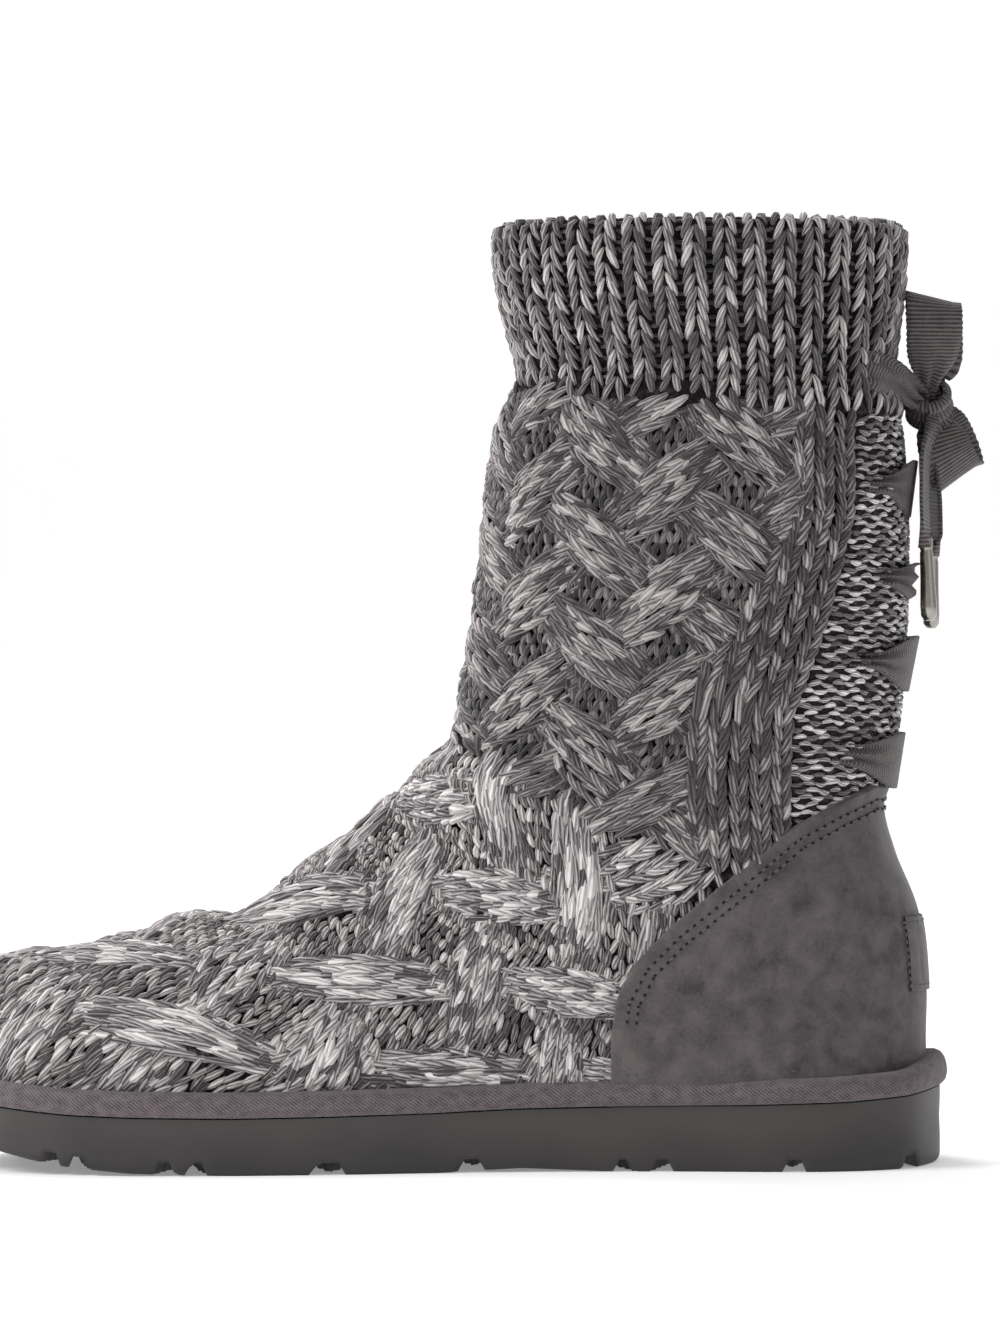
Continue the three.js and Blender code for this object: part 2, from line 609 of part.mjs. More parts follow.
// Plan outline of the upper's base, grown by a rim: up the inner side and back down the outer
const outlineSteps = 24;
function planOutline(rim) {
  const points = [];
  const near = (t, side) => basePoint(t, 1, side);
  const add = (t, side) => {
    const step = 0.05;
    const here = near(t, side);
    const tangent = near(Math.min(t + step, lastRing), side).sub(near(Math.max(t - step, bottomRing), side));
    const normal = new THREE.Vector2(tangent.y, -tangent.x).multiplyScalar(side).normalize();
    if (t === bottomRing) normal.set(1, 0);
    if (t === lastRing) normal.set(-1, 0);
    points.push(new THREE.Vector2(here.x + normal.x * rim, here.y + normal.y * rim));
  };
  for (let i = 0; i <= outlineSteps; i += 1) add(mix(bottomRing, lastRing, i / outlineSteps), -1);
  for (let i = outlineSteps - 1; i > 0; i -= 1) add(mix(bottomRing, lastRing, i / outlineSteps), 1);
  return points;
}

function makeOutsole() {
  const levels = [
    { inset: soleEdge, share: 0 },
    { inset: soleEdge * 0.3, share: 0.04 },
    { inset: 0, share: 0.12 },
    { inset: 0, share: 1 },
  ];
  const sections = levels.map(({ inset, share }) => planOutline(soleRim - inset).map(({ x, y }) => {
    return new THREE.Vector3(x, y, mix(soleLowAt(x), soleTopAt(x), share));
  }));
  let sole = bodyThrough(sections);
  for (const row of lugRows) {
    const groove = new THREE.BoxGeometry(lugGap, ballWidth * 2, lugDepth * 2);
    const x = alongX(row.along);
    groove.rotateZ(row.slant);
    groove.translate(x, 0, soleLowAt(x));
    sole = sole.subtract(toSolid(groove));
  }
  return sole;
}

function makeInsole() {
  const rim = -(liningWall + clearance * 2);
  const outline = planOutline(rim);
  const bottom = outline.map(({ x, y }) => new THREE.Vector3(x, y, soleTopAt(x) + clearance));
  const topAt = (x) => soleTopAt(x) + clearance + insoleThickness;
  const top = outline.map(({ x, y }) => new THREE.Vector3(x, y, topAt(x)));
  const apart = swelled(-liningWall - clearance, innerRings, innerTurns);
  return bodyThrough([bottom, top]).intersect(apart);
}

// Rounded tape round the joint of upper and outsole, higher at the heel's back
function makeTape() {
  const profile = [
    { out: -0.3, up: 0 },
    { out: soleRim + tapeProud * 0.45, up: 0 },
    { out: soleRim + tapeProud, up: 0.35 },
    { out: soleRim + tapeProud * 0.7, up: 0.75 },
    { out: soleRim * 0.82, up: 1 },
    { out: -0.3, up: 0.94 },
  ];
  const rows = profile.map(({ out, up }) => planOutline(out).map(({ x, y }) => {
    const heelLift = 1 + 0.4 * smooth(0.05, 0, (heelX - x) / soleLength);
    return new THREE.Vector3(x, y, soleTopAt(x) + clearance + up * tapeHeight * heelLift);
  }));
  const sections = rows[0].map((_, i) => rows.map((row) => row[i]));
  return bodyThrough(sections, true).subtract(swelled(counterStart + suede + clearance));
}

// Flat ribbon through stations: points with the direction of its width
function ribbonSolid(stations, width = ribbonWidth, thickness = ribbonThickness) {
  const sections = stations.map(({ point, wide, open = 1 }, i) => {
    const before = stations[Math.max(i - 1, 0)].point;
    const after = stations[Math.min(i + 1, stations.length - 1)].point;
    const ahead = after.clone().sub(before).normalize();
    const flat = ahead.clone().cross(wide).normalize().multiplyScalar(thickness / 2);
    const half = flat.clone().cross(ahead).normalize().multiplyScalar(width * open / 2);
    return [
      point.clone().add(half).add(flat),
      point.clone().add(half).sub(flat),
      point.clone().sub(half).sub(flat),
      point.clone().sub(half).add(flat),
    ];
  });
  return bodyThrough(sections);
}

// Where the leg's back surface is met: z up, turn 1 at the back's middle
function legRowAt(z) {
  let low = firstRing;
  let high = bottomRing;
  for (let i = 0; i < 30; i += 1) {
    const middle = (low + high) / 2;
    if (basePoint(middle, 1, 1).z > z) low = middle;
    else high = middle;
  }
  return (low + high) / 2;
}

function backStation(z, round, height) {
  const side = round < 0 ? -1 : 1;
  const turn = 1 - Math.abs(round);
  const t = legRowAt(z);
  const normal = baseNormal(t, turn, side);
  return { point: basePoint(t, turn, side).addScaledVector(normal, height), normal };
}

// A bar of ribbon from slit to slit over the back
function makeBar({ slitUp, backUp, turn, slitOpen, backOpen, stand }) {
  const slitZ = ankleHeight + slitUp * legHeight;
  const backZ = ankleHeight + backUp * legHeight;
  const cuffBack = ankleHeight + cuffEdge[cuffEdge.length - 1].up * legHeight;
  const overCuff = backZ > cuffBack;
  const seat = (overCuff ? cuffKnit + ribRise : panelKnit) + clearance + ribbonThickness / 2;
  const gathered = 0.35; // where the ribbon has opened out, as a share of the way from the middle to a slit
  const steps = 12;
  const stations = [];
  for (let i = 0; i <= steps; i += 1) {
    const round = i / steps * 2 - 1;
    const middle = smooth(1, gathered, Math.abs(round));
    const leaned = stand * middle;
    const station = backStation(mix(slitZ, backZ, middle), round * turn, seat + leaned / 2);
    const wide = new THREE.Vector3(0, 0, ribbonWidth).addScaledVector(station.normal, leaned);
    stations.push({ point: station.point, wide, open: mix(slitOpen, backOpen, middle) });
  }
  return ribbonSolid(stations).subtract(keptRoom());
}

// Room kept by the cuff and the counter over the panel
function keptRoom() {
  const overRibs = () => cuffKnit + ribRise + clearance;
  const cuffRoom = lastSolid(firstRing, cuffRing, cuffRows, cuffTurns, overRibs).intersect(cuffZone);
  return cuffRoom.add(swelled(counterStart + suede + clearance).intersect(counterZone(clearance)));
}

// Bow, tied over the highest bar
const knotSeat = basePoint(legRowAt(knotHeight), 1, 1).x + cuffKnit + ribRise + ribbonThickness * 2;
const knotCentre = new THREE.Vector3(knotSeat + knotSize, 0, knotHeight);
const bowPoint = (row) => new THREE.Vector3(knotSeat + row.out, row.side, knotHeight + row.up);

function makeBand(rows) {
  return ribbonSolid(rows.map((row) => ({
    point: bowPoint(row),
    wide: new THREE.Vector3(row.wideX, row.wideY, row.wideZ),
    open: row.open,
  })), ribbonWidth * 0.9);
}

function makeKnot(grow = 0) {
  const knot = new THREE.SphereGeometry(knotSize + grow, 12, 8);
  knot.translate(knotCentre.x, knotCentre.y, knotCentre.z);
  return toSolid(knot);
}

function makeAglet(rows) {
  const end = bowPoint(rows[rows.length - 1]);
  const lean = bowPoint(rows[rows.length - 1]).sub(bowPoint(rows[rows.length - 2])).normalize();
  const profile = [
    new THREE.Vector2(0, 0),
    new THREE.Vector2(agletRadius * 0.75, 0),
    new THREE.Vector2(agletRadius, -agletLength * 0.8),
    new THREE.Vector2(agletRadius * 0.6, -agletLength),
    new THREE.Vector2(0, -agletLength),
  ];
  const tip = new THREE.LatheGeometry(profile.reverse(), 12);
  tip.rotateX(Math.PI / 2);
  tip.applyQuaternion(new THREE.Quaternion().setFromUnitVectors(new THREE.Vector3(0, 0, -1), lean));
  const start = end.addScaledVector(lean, clearance);
  tip.translate(start.x, start.y, start.z);
  return toSolid(tip);
}

// The boot

const group = new THREE.Group();
function addPiece(name, solid, color, roughness, metalness = 0) {
  const material = new THREE.MeshStandardMaterial({ color, roughness, metalness });
  const mesh = new THREE.Mesh(toGeometry(solid), material);
  mesh.name = name;
  group.add(mesh);
}

addPiece('outsole', makeOutsole(), 0x4b4846, 0.55);
addPiece('edge_tape', makeTape(), 0x696264, 0.85);
addPiece('insole', makeInsole(), 0xb8b2ab, 0.95);
addPiece('knit_foot', makeFoot(), 0x8c8a8a, 0.95);
addPiece('knit_leg', makeLeg(), 0x868484, 0.95);
addPiece('back_panel', makeBackPanel(), 0x807e7e, 0.95);
addPiece('rib_cuff', makeCuff(), 0x848282, 0.95);
addPiece('heel_counter', makeCounter(), 0x555254, 0.9);
addPiece('heel_patch', makePatch(), 0x4f4c4e, 0.9);

const bars = barRows.map(makeBar);
const topBar = bars[bars.length - 1];
const beside = swelled(cuffKnit + ribRise + clearance, fineRings, fineTurns).add(topBar);
const knot = makeKnot().subtract(beside);
let taken = beside.add(makeKnot(clearance));
bars.forEach((bar, i) => addPiece(`ribbon_bar_${i + 1}`, bar, 0x504b4b, 0.6));
const bands = [
  ['bow_loop_inner', makeBand(upperLoop)],
  ['bow_loop_outer', makeBand(lowerLoop)],
  ['bow_tail_inner', makeBand(innerTail)],
  ['bow_tail_outer', makeBand(outerTail)],
];
addPiece('bow_knot', knot, 0x504b4b, 0.6);
for (const [name, band] of bands) {
  addPiece(name, band.subtract(taken), 0x504b4b, 0.6);
  taken = taken.add(band);
}
addPiece('aglet_inner', makeAglet(innerTail), 0xb9b7b4, 0.3, 1);
addPiece('aglet_outer', makeAglet(outerTail), 0xb9b7b4, 0.3, 1);

export default group;
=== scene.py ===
import math
import bpy
import numpy as np
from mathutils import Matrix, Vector


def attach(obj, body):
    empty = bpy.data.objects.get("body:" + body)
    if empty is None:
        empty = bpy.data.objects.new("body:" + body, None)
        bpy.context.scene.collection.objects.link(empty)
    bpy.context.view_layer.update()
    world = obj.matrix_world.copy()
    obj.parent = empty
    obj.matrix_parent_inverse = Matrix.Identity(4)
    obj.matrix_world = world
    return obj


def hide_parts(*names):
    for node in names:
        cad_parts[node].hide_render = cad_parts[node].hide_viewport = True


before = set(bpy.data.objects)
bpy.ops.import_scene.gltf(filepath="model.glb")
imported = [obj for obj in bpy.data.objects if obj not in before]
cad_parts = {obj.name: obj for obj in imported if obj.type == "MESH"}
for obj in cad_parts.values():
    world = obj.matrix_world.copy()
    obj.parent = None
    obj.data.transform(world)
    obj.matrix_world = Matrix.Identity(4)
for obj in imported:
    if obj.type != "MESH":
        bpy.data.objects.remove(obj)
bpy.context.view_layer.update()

mm = 0.001
rng = np.random.default_rng(7)

# The boot's own sizes in millimetres, toe to -X, inner side to -Y
boot = {
    "soleLength": 274, "ballWidth": 100, "heelWidth": 76, "ankleHeight": 118,
    "legHeight": 138, "legDepth": 120, "legWidth": 80, "soleThickness": 15, "soleRim": 7.2,
    "tapeHeight": 6.8, "liningWall": 3, "footKnit": 0.9, "legKnit": 1.6, "strandRise": 3,
    "panelKnit": 1.4, "cuffKnit": 1, "ribRise": 1.8, "ribCount": 38,
    "counterStart": 1.2, "suede": 2,
}
heelX = boot["soleLength"] / 2
bootTop = boot["ankleHeight"] + boot["legHeight"]

# Rings of the leg: height above the bend, front and back from the heel's end, half width
legRings = [
    (1.05, 0.996, 0.104, 1.01), (0.92, 0.996, 0.104, 1.01), (0.81, 0.971, 0.117, 0.99),
    (0.7, 0.942, 0.129, 0.965), (0.595, 0.992, 0.1, 0.985), (0.45, 1.018, 0.0875, 1),
    (0.305, 1.035, 0.085, 1), (0.16, 1.058, 0.092, 1), (0.058, 1.079, 0.1, 0.99),
]
# Rings of the foot: top along and up, end along and up, half width, foot width, ball share,
# place of the widest point, swing to the outer side
footRings = [
    (0.478, 0.995, 0.053, 0.932, 1.266, 0, 0, 0.5, 0), (0.493, 0.95, 0.066, 0.83, 1.25, 0, 0, 0.5, 0),
    (0.515, 0.912, 0.055, 0.712, 1.23, 0, 0, 0.5, 0), (0.529, 0.875, 0.033, 0.576, 1.2, 0, 0, 0.5, 0),
    (0.538, 0.845, 0.0255, 0.424, 1.17, 0, 0, 0.52, 0), (0.547, 0.82, 0.026, 0.288, 1.15, 0, 0, 0.54, 0),
    (0.557, 0.8, 0.0263, 0.15, 1.14, 0, 0, 0.56, 0), (0.566, 0.784, 0.047, 0.12, 1.14, 0.6, 0, 0.57, 0),
    (0.577, 0.769, 0.0985, 0.11, 1.14, 0.93, 0, 0.58, 0), (0.591, 0.745, 0.1715, 0.11, 1.14, 1, 0, 0.6, 0),
    (0.609, 0.722, 0.252, 0.11, 1.15, 0.98, 0, 0.61, 0.01),
    (0.635, 0.679, 0.354, 0.105, 1.1, 0.93, 0.25, 0.62, 0.02),
    (0.668, 0.61, 0.471, 0.1, 1.06, 0.91, 0.6, 0.65, 0.025),
    (0.704, 0.56, 0.5875, 0.09, 1.01, 0.935, 1, 0.67, 0.018),
    (0.748, 0.55, 0.704, 0.085, 1.04, 1, 1, 0.68, 0.004),
    (0.807, 0.513, 0.792, 0.085, 1.02, 0.98, 1, 0.68, -0.008),
    (0.865, 0.487, 0.865, 0.09, 0.915, 0.875, 1, 0.67, -0.03),
    (0.912, 0.47, 0.92, 0.1, 0.735, 0.7, 1, 0.66, -0.05),
    (0.946, 0.43, 0.95, 0.11, 0.52, 0.49, 1, 0.63, -0.065),
    (0.966, 0.339, 0.9675, 0.12, 0.29, 0.27, 1, 0.6, -0.075),
    (0.9737, 0.24, 0.9737, 0.16, 0.02, 0, 1, 0.5, -0.08),
]
soleTops = [
    (-0.03, 1.43), (0, 1.4), (0.04, 1.3), (0.1, 1.23), (0.2, 1.18), (0.33, 1.15), (0.42, 1.12), (0.5, 1.06),
    (0.6, 1.02), (0.7, 1), (0.8, 1.02), (0.86, 1.06), (0.9, 1.12), (0.95, 1.22), (1, 1.36), (1.03, 1.42),
]


def makeRings():
    rings = []
    for up, front, back, wide in legRings:
        z = boot["ankleHeight"] + up * boot["legHeight"]
        rings.append((heelX - front * boot["legDepth"], z, heelX - back * boot["legDepth"], z,
                      wide * boot["legWidth"] / 2, 0, 0.5, 0))
    for top, topUp, end, endUp, wide, foot, ball, at, swing in footRings:
        half = (boot["heelWidth"] * (1 - ball) + boot["ballWidth"] * ball) / 2 - boot["soleRim"]
        rings.append((heelX - top * boot["soleLength"], topUp * boot["ankleHeight"],
                      heelX - end * boot["soleLength"], endUp * boot["ankleHeight"],
                      wide * half, foot * half, at, swing * boot["ballWidth"]))
    return np.array(rings, float)


rings = makeRings()
lastRing = len(rings) - 1
bottomRing = len(legRings) + 6  # the ring that ends in the corner under the heel


def smooth(low, high, value):
    share = np.clip((value - low) / (high - low), 0, 1)
    return share * share * (3 - 2 * share)


def between(before, here, there, after, u):  # smooth curve from here to there, u from 0 to 1
    slopeIn, slopeOut = (there - before) / 2, (after - here) / 2
    return ((2 * u**3 - 3 * u**2 + 1) * here + (u**3 - 2 * u**2 + u) * slopeIn
            + (3 * u**2 - 2 * u**3) * there + (u**3 - u**2) * slopeOut)


def soleLevel(x, line):  # height of a line of the sole at x
    return np.interp((heelX - x) / boot["soleLength"], *np.transpose(line)) * boot["soleThickness"]


def soleTopAt(x):
    return soleLevel(x, soleTops)


def ringAt(t):
    t = np.clip(t, 0, lastRing)
    i = np.clip(np.floor(t).astype(int), 0, lastRing - 1)
    return between(rings[np.maximum(i - 1, 0)], rings[i], rings[i + 1], rings[np.minimum(i + 2, lastRing)],
                   (t - i)[..., None])


def likeShapes(*values):  # as arrays of one shape
    return np.broadcast_arrays(*(np.asarray(value, float) for value in values))


# A point of the surface: t counts the rings from the leg's top to the toe, turn goes from the front or top
# line at 0 to the back or bottom line at 1, and side is -1 on the inner side and 1 on the outer
roundness = 2 / 2.35  # of the back of the leg and the lower half of the foot, a superellipse


def basePoint(t, turn, side):
    t, turn, side = likeShapes(t, turn, side)
    topX, topZ, endX, endZ, wide, foot, at, swing = np.moveaxis(ringAt(t), -1, 0)
    front = turn < 0.5
    angle = np.pi * np.clip(turn - 0.5, 0, 0.5)
    back = np.maximum(np.cos(angle), 0) ** roundness
    down = np.where(front, at * (1 - np.cos(np.pi * turn)), at + (1 - at) * np.sin(angle) ** roundness)
    half = np.where(front, wide * np.sin(np.pi * np.clip(turn, 0, 0.5)), foot + (wide - foot) * back)
    y = side * np.maximum(half, 0) + swing
    return np.stack([topX + (endX - topX) * down, y, topZ + (endZ - topZ) * down], -1)


def baseNormal(t, turn, side):
    t, turn, side = likeShapes(t, turn, side)
    step = 0.02
    nextT, lastT = np.minimum(t + step, lastRing), np.maximum(t - step, 0)
    nextTurn, lastTurn = np.minimum(turn + step, 1), np.maximum(turn - step, 0)
    alongRings = basePoint(nextT, turn, side) - basePoint(lastT, turn, side)
    roundRing = basePoint(t, nextTurn, side) - basePoint(t, lastTurn, side)
    normal = np.cross(roundRing, alongRings) * side[..., None]
    flat = (turn <= 0) | ((turn >= 1) & (t <= bottomRing))
    normal[..., 1] = np.where(flat, 0, normal[..., 1])
    return normal / np.maximum(np.linalg.norm(normal, axis=-1, keepdims=True), 1e-9)


def skin(t, turn, side, height):  # the surface grown outwards by a height
    return basePoint(t, turn, side) + baseNormal(t, turn, side) * np.asarray(height)[..., None]


# Tables that turn lengths on the surface back into ring and turn
table = {"rows": 20, "columns": 100}  # rows a ring, columns of a half ring
tLine = np.linspace(0, lastRing, lastRing * table["rows"] + 1)
turnLine = np.linspace(0, 1, table["columns"] + 1)
gridPoints = basePoint(tLine[:, None], turnLine[None, :], 1.0)
girthGrid = np.concatenate([np.zeros((len(tLine), 1)), np.cumsum(
    np.linalg.norm(np.diff(gridPoints, axis=1), axis=-1), axis=1)], axis=1)
wholeGirth = girthGrid[:, -1]
turnGrid = np.array([np.interp(turnLine * row[-1], row, turnLine) for row in girthGrid])
quarterRings = np.arange(0, lastRing + 0.01, 0.25)
sideLine = basePoint(quarterRings, 0.42, -1.0)  # down the middle of the side, over leg and foot
alongLine = np.concatenate([[0], np.cumsum(np.linalg.norm(np.diff(sideLine, axis=0), axis=-1))])


def sample(grid, t, share):  # value of a table at ring t and a share of its columns
    row = np.clip(np.asarray(t) * table["rows"], 0, len(tLine) - 1.001)
    column = np.clip(np.asarray(share) * table["columns"], 0, table["columns"] - 0.001)
    i, j = row.astype(int), column.astype(int)
    u, v = row - i, column - j
    return ((grid[i, j] * (1 - v) + grid[i, j + 1] * v) * (1 - u)
            + (grid[i + 1, j] * (1 - v) + grid[i + 1, j + 1] * v) * u)


def girthAt(t, turn):
    return sample(girthGrid, t, turn)


def wholeGirthAt(t):  # length of the half ring
    return np.interp(t, tLine, wholeGirth)


def turnFor(t, girth):
    return sample(turnGrid, t, girth / wholeGirthAt(t))


def sideOf(around):  # distances round the boot are positive on the inner side
    return np.where(around > 0, -1.0, 1.0)


def halved(low, high, isBefore, rounds):  # the place between low and high where isBefore turns false
    for _ in range(rounds):
        middle = (low + high) / 2
        before = isBefore(middle)
        low, high = np.where(before, middle, low), np.where(before, high, middle)
    return low, high


def legSpot(z, around):  # ring, turn and side at a height and a distance round the leg
    girth, side = np.abs(around), sideOf(around)
    low, high = halved(np.zeros(z.shape), np.full(z.shape, float(bottomRing)),
                       lambda t: basePoint(t, turnFor(t, girth), side)[..., 2] > z, 18)
    t = (low + high) / 2
    return t, turnFor(t, girth), side


# Plait of the leg and open weave of the foot, in millimetres
plait = {"width": 13.5, "column": 19, "period": 28, "drop": 59.5, "around": 48, "fan": 0.11}
weave = {"width": 15, "along": 29, "across": 17, "start": 325, "around": 52,
         "leans": ((200, 0.8), (310, -0.5))}


def leanAt(down):  # how far the weave's rows lean, by the distance from the leg's top
    return np.interp(down, *np.transpose(weave["leans"]))


def plaitSpot(a, b):  # surface point of the plait's own counts: a across its columns, b down its half periods
    down = -b * plait["period"] / 2
    start = plait["around"] + plait["column"] * a
    around = start
    for _ in range(16):
        around = start + plait["fan"] * (down - plait["period"]) * np.tanh(around / plait["column"])
    return legSpot(bootTop - plait["drop"] - down, around)


def weaveSpot(a, b):  # and of the weave's: a along the foot, b round it
    around = weave["across"] * b + weave["around"]
    aside = np.abs(around) - weave["around"]
    target = weave["along"] * a + weave["start"]
    low, high = halved(np.full(a.shape, 60.0), np.full(a.shape, alongLine[-1]),
                       lambda down: down - leanAt(down) * aside <= target, 24)
    t = np.interp((low + high) / 2, alongLine, quarterRings)
    return t, turnFor(t, np.abs(around)), sideOf(around)


def crown(distance, width):  # height of a strand's round back, from 1 in its middle to 0 at its edges
    return np.sqrt(1 - np.clip(np.abs(distance) / (width / 2), 0, 1) ** 3)


def wrap(value, period):  # to the nearest strand
    return value - period * np.round(value / period)


# Heights of the two families of strands: the first is on top where a is even, the second where a is odd
def strandHeights(a, b, halfA, halfB, width):
    slant = halfA * halfB / math.hypot(halfA, halfB)
    over = np.cos(np.pi * a)
    return (crown(wrap(a + b, 2) * slant, width) * (0.6 + 0.4 * over),
            crown(wrap(a - b, 2) * slant, width) * (0.6 - 0.4 * over))


def plaitCover(z, around, wider=0):  # how far the plait's strands stand up at a place of the leg
    down = bootTop - z - plait["drop"]
    fan = plait["fan"] * (down - plait["period"]) * np.tanh(around / plait["column"])
    a = (around - plait["around"] - fan) / plait["column"]
    return np.maximum(*strandHeights(a, -2 * down / plait["period"], plait["column"], plait["period"] / 2,
                                     plait["width"] + wider))


def plaitLift(t, turn, side):
    return plaitCover(basePoint(t, turn, side)[..., 2], -side * girthAt(t, turn))


def weaveFade(t, turn, side):  # strands lie down where the tape and the toe's tip begin
    point = basePoint(t, turn, side)
    rise = point[..., 2] - soleTopAt(point[..., 0])
    return smooth(boot["tapeHeight"] * 0.5, boot["tapeHeight"] * 1.6, rise) * smooth(0, 1, lastRing - t)


def weaveCover(down, around, wider=0):  # and the weave's, at a place of the foot
    a = (down - leanAt(down) * (np.abs(around) - weave["around"]) - weave["start"]) / weave["along"]
    b = (around - weave["around"]) / weave["across"]
    return np.maximum(*strandHeights(a, b, weave["along"], weave["across"], weave["width"] + wider))


def weaveLift(t, turn, side):
    cover = weaveCover(np.interp(t, quarterRings, alongLine), -side * girthAt(t, turn))
    return cover * weaveFade(t, turn, side)


def cuffLift(t, turn):  # the cuff's ribs, from 1 on a rib to 0 in a gutter
    return np.abs(np.cos(np.pi * girthAt(t, turn) / wholeGirthAt(t) * boot["ribCount"] / 2)) ** 0.7


def legZ(up):  # height of a place on the leg
    return boot["ankleHeight"] + up * boot["legHeight"]


def soleLine(rows):  # side view, from shares of the sole's length and the ankle's height
    return np.array([(heelX - along * boot["soleLength"], up * boot["ankleHeight"]) for along, up in rows])


def legLine(rows):  # side view, from shares of the leg's depth and height
    return np.array([(heelX - back * boot["legDepth"], legZ(up)) for back, up in rows])


# Seams seen from the side, from back to front or from top to bottom
ankleSeam = soleLine([(-0.04, 0.46), (0.1, 0.56), (0.206, 0.665), (0.304, 0.754), (0.4, 0.869), (0.5, 0.99),
                      (0.64, 1.02)])
counterEdge = soleLine([(-0.04, 0.865), (0.069, 0.868), (0.11, 0.83), (0.155, 0.777), (0.218, 0.657),
                        (0.273, 0.555), (0.307, 0.475), (0.326, 0.39), (0.331, 0.3), (0.331, -0.1)])
panelEdge = legLine([(0.21, 0.9), (0.21, 0.42), (0.262, 0.25), (0.307, 0.126), (0.35, 0.03), (0.358, -0.1),
                     (0.352, -0.2), (0.34, -0.45)])
cuffEdge = legLine([(-0.2, 0.615), (0.22, 0.62), (0.48, 0.63), (0.73, 0.645), (0.97, 0.672), (1.3, 0.675)])


def seamDistance(points, line):  # in the side view, positive on the left of the line's direction
    x, z = points[..., 0], points[..., 2]
    best = np.full(x.shape, 1e9)
    signed = np.zeros(x.shape)
    for (x0, z0), (x1, z1) in zip(line[:-1], line[1:]):
        length = math.hypot(x1 - x0, z1 - z0)
        ux, uz = (x1 - x0) / length, (z1 - z0) / length
        along = np.clip((x - x0) * ux + (z - z0) * uz, 0, length)
        dx, dz = x - x0 - along * ux, z - z0 - along * uz
        distance = np.hypot(dx, dz)
        nearer = distance < best - 1e-9
        best = np.where(nearer, distance, best)
        signed = np.where(nearer, np.where(ux * dz - uz * dx > 0, distance, -distance), signed)
    return signed


def beyondAnkle(points):  # positive on the leg
    return -seamDistance(points, ankleSeam)


def insideCounter(points):
    return seamDistance(points, counterEdge)


def beforePanel(points):  # positive on the plait's side
    return -seamDistance(points, panelEdge)


def aboveCuffEdge(points):
    return -seamDistance(points, cuffEdge)


def sideSpots(x, z, side, height):  # ring, turn and side of the surface points seen at x, z from the side
    shape = x.shape
    x, z, side = (grid.ravel() for grid in likeShapes(x, z, side))
    gridT = np.linspace(0.5, lastRing - 0.3, 150)[:, None]
    gridTurn = np.linspace(0.12, 0.97, 60)[None, :]
    gridT, gridTurn = np.broadcast_arrays(gridT, gridTurn)
    seen = skin(gridT, gridTurn, 1.0, np.full(gridT.shape, height))
    flatX, flatZ = seen[..., 0].ravel(), seen[..., 2].ravel()
    nearest = np.array([np.argmin((flatX - u) ** 2 + (flatZ - v) ** 2) for u, v in zip(x, z)])
    t, turn = gridT.ravel()[nearest].copy(), gridTurn.ravel()[nearest].copy()
    heights = np.full(t.shape, height)
    step = 1e-3
    for _ in range(6):
        here = skin(t, turn, side, heights)[..., [0, 2]]
        alongT = (skin(t + step, turn, side, heights)[..., [0, 2]] - here) / step
        alongTurn = (skin(t, turn + step, side, heights)[..., [0, 2]] - here) / step
        missX, missZ = x - here[..., 0], z - here[..., 1]
        area = alongT[..., 0] * alongTurn[..., 1] - alongT[..., 1] * alongTurn[..., 0]
        area = np.where(np.abs(area) < 1e-6, 1e-6, area)
        t = np.clip(t + np.clip((missX * alongTurn[..., 1] - missZ * alongTurn[..., 0]) / area, -0.5, 0.5),
                    0, lastRing - 0.02)
        turn = np.clip(turn + np.clip((missZ * alongT[..., 0] - missX * alongT[..., 1]) / area, -0.05, 0.05),
                       0.02, 0.995)
    return t.reshape(shape), turn.reshape(shape), side.reshape(shape)


print("form ready")


# Mesh making

def addPiece(name, points, faces, material, uv=None, uvName="pattern", stands=()):
    # points in millimetres, faces as arrays of equally long rows, uv one pair a corner
    mesh = bpy.data.meshes.new(name)
    points = np.asarray(points, float).reshape(-1, 3) * mm
    faces = [np.asarray(rows, int) for rows in faces if len(rows)]
    corners = np.concatenate([rows.ravel() for rows in faces])
    sizes = np.concatenate([np.full(len(rows), rows.shape[1]) for rows in faces])
    mesh.vertices.add(len(points))
    mesh.vertices.foreach_set("co", points.ravel())
    mesh.loops.add(len(corners))
    mesh.loops.foreach_set("vertex_index", corners)
    mesh.polygons.add(len(sizes))
    mesh.polygons.foreach_set("loop_start", np.concatenate([[0], np.cumsum(sizes)[:-1]]))
    mesh.update(calc_edges=True)
    mesh.polygons.foreach_set("use_smooth", np.ones(len(sizes), bool))
    if uv is not None:
        layer = mesh.uv_layers.new(name=uvName)
        layer.data.foreach_set("uv", np.asarray(uv, float).ravel())
    mesh.materials.append(material)
    piece = bpy.data.objects.new(name, mesh)
    bpy.context.scene.collection.objects.link(piece)
    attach(piece, "root")
    if stands:
        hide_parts(*stands)
    return piece


def cornerUv(vertexUv, faces):
    return np.concatenate([vertexUv[rows].reshape(-1, 2) for rows in faces if len(rows)])


def gridFaces(rows, columns, closed=False):
    i, j = np.meshgrid(np.arange(rows - 1), np.arange(columns if closed else columns - 1), indexing="ij")
    k = (j + 1) % columns
    return np.stack([i * columns + j, i * columns + k, (i + 1) * columns + k, (i + 1) * columns + j],
                    -1).reshape(-1, 4)


def joined(parts):  # several (points, faces) grids as one
    points, faces, start = [], [], 0
    for partPoints, partFaces in parts:
        points.append(partPoints.reshape(-1, 3))
        faces.append(partFaces + start)
        start += len(points[-1])
    return np.concatenate(points), np.concatenate(faces)


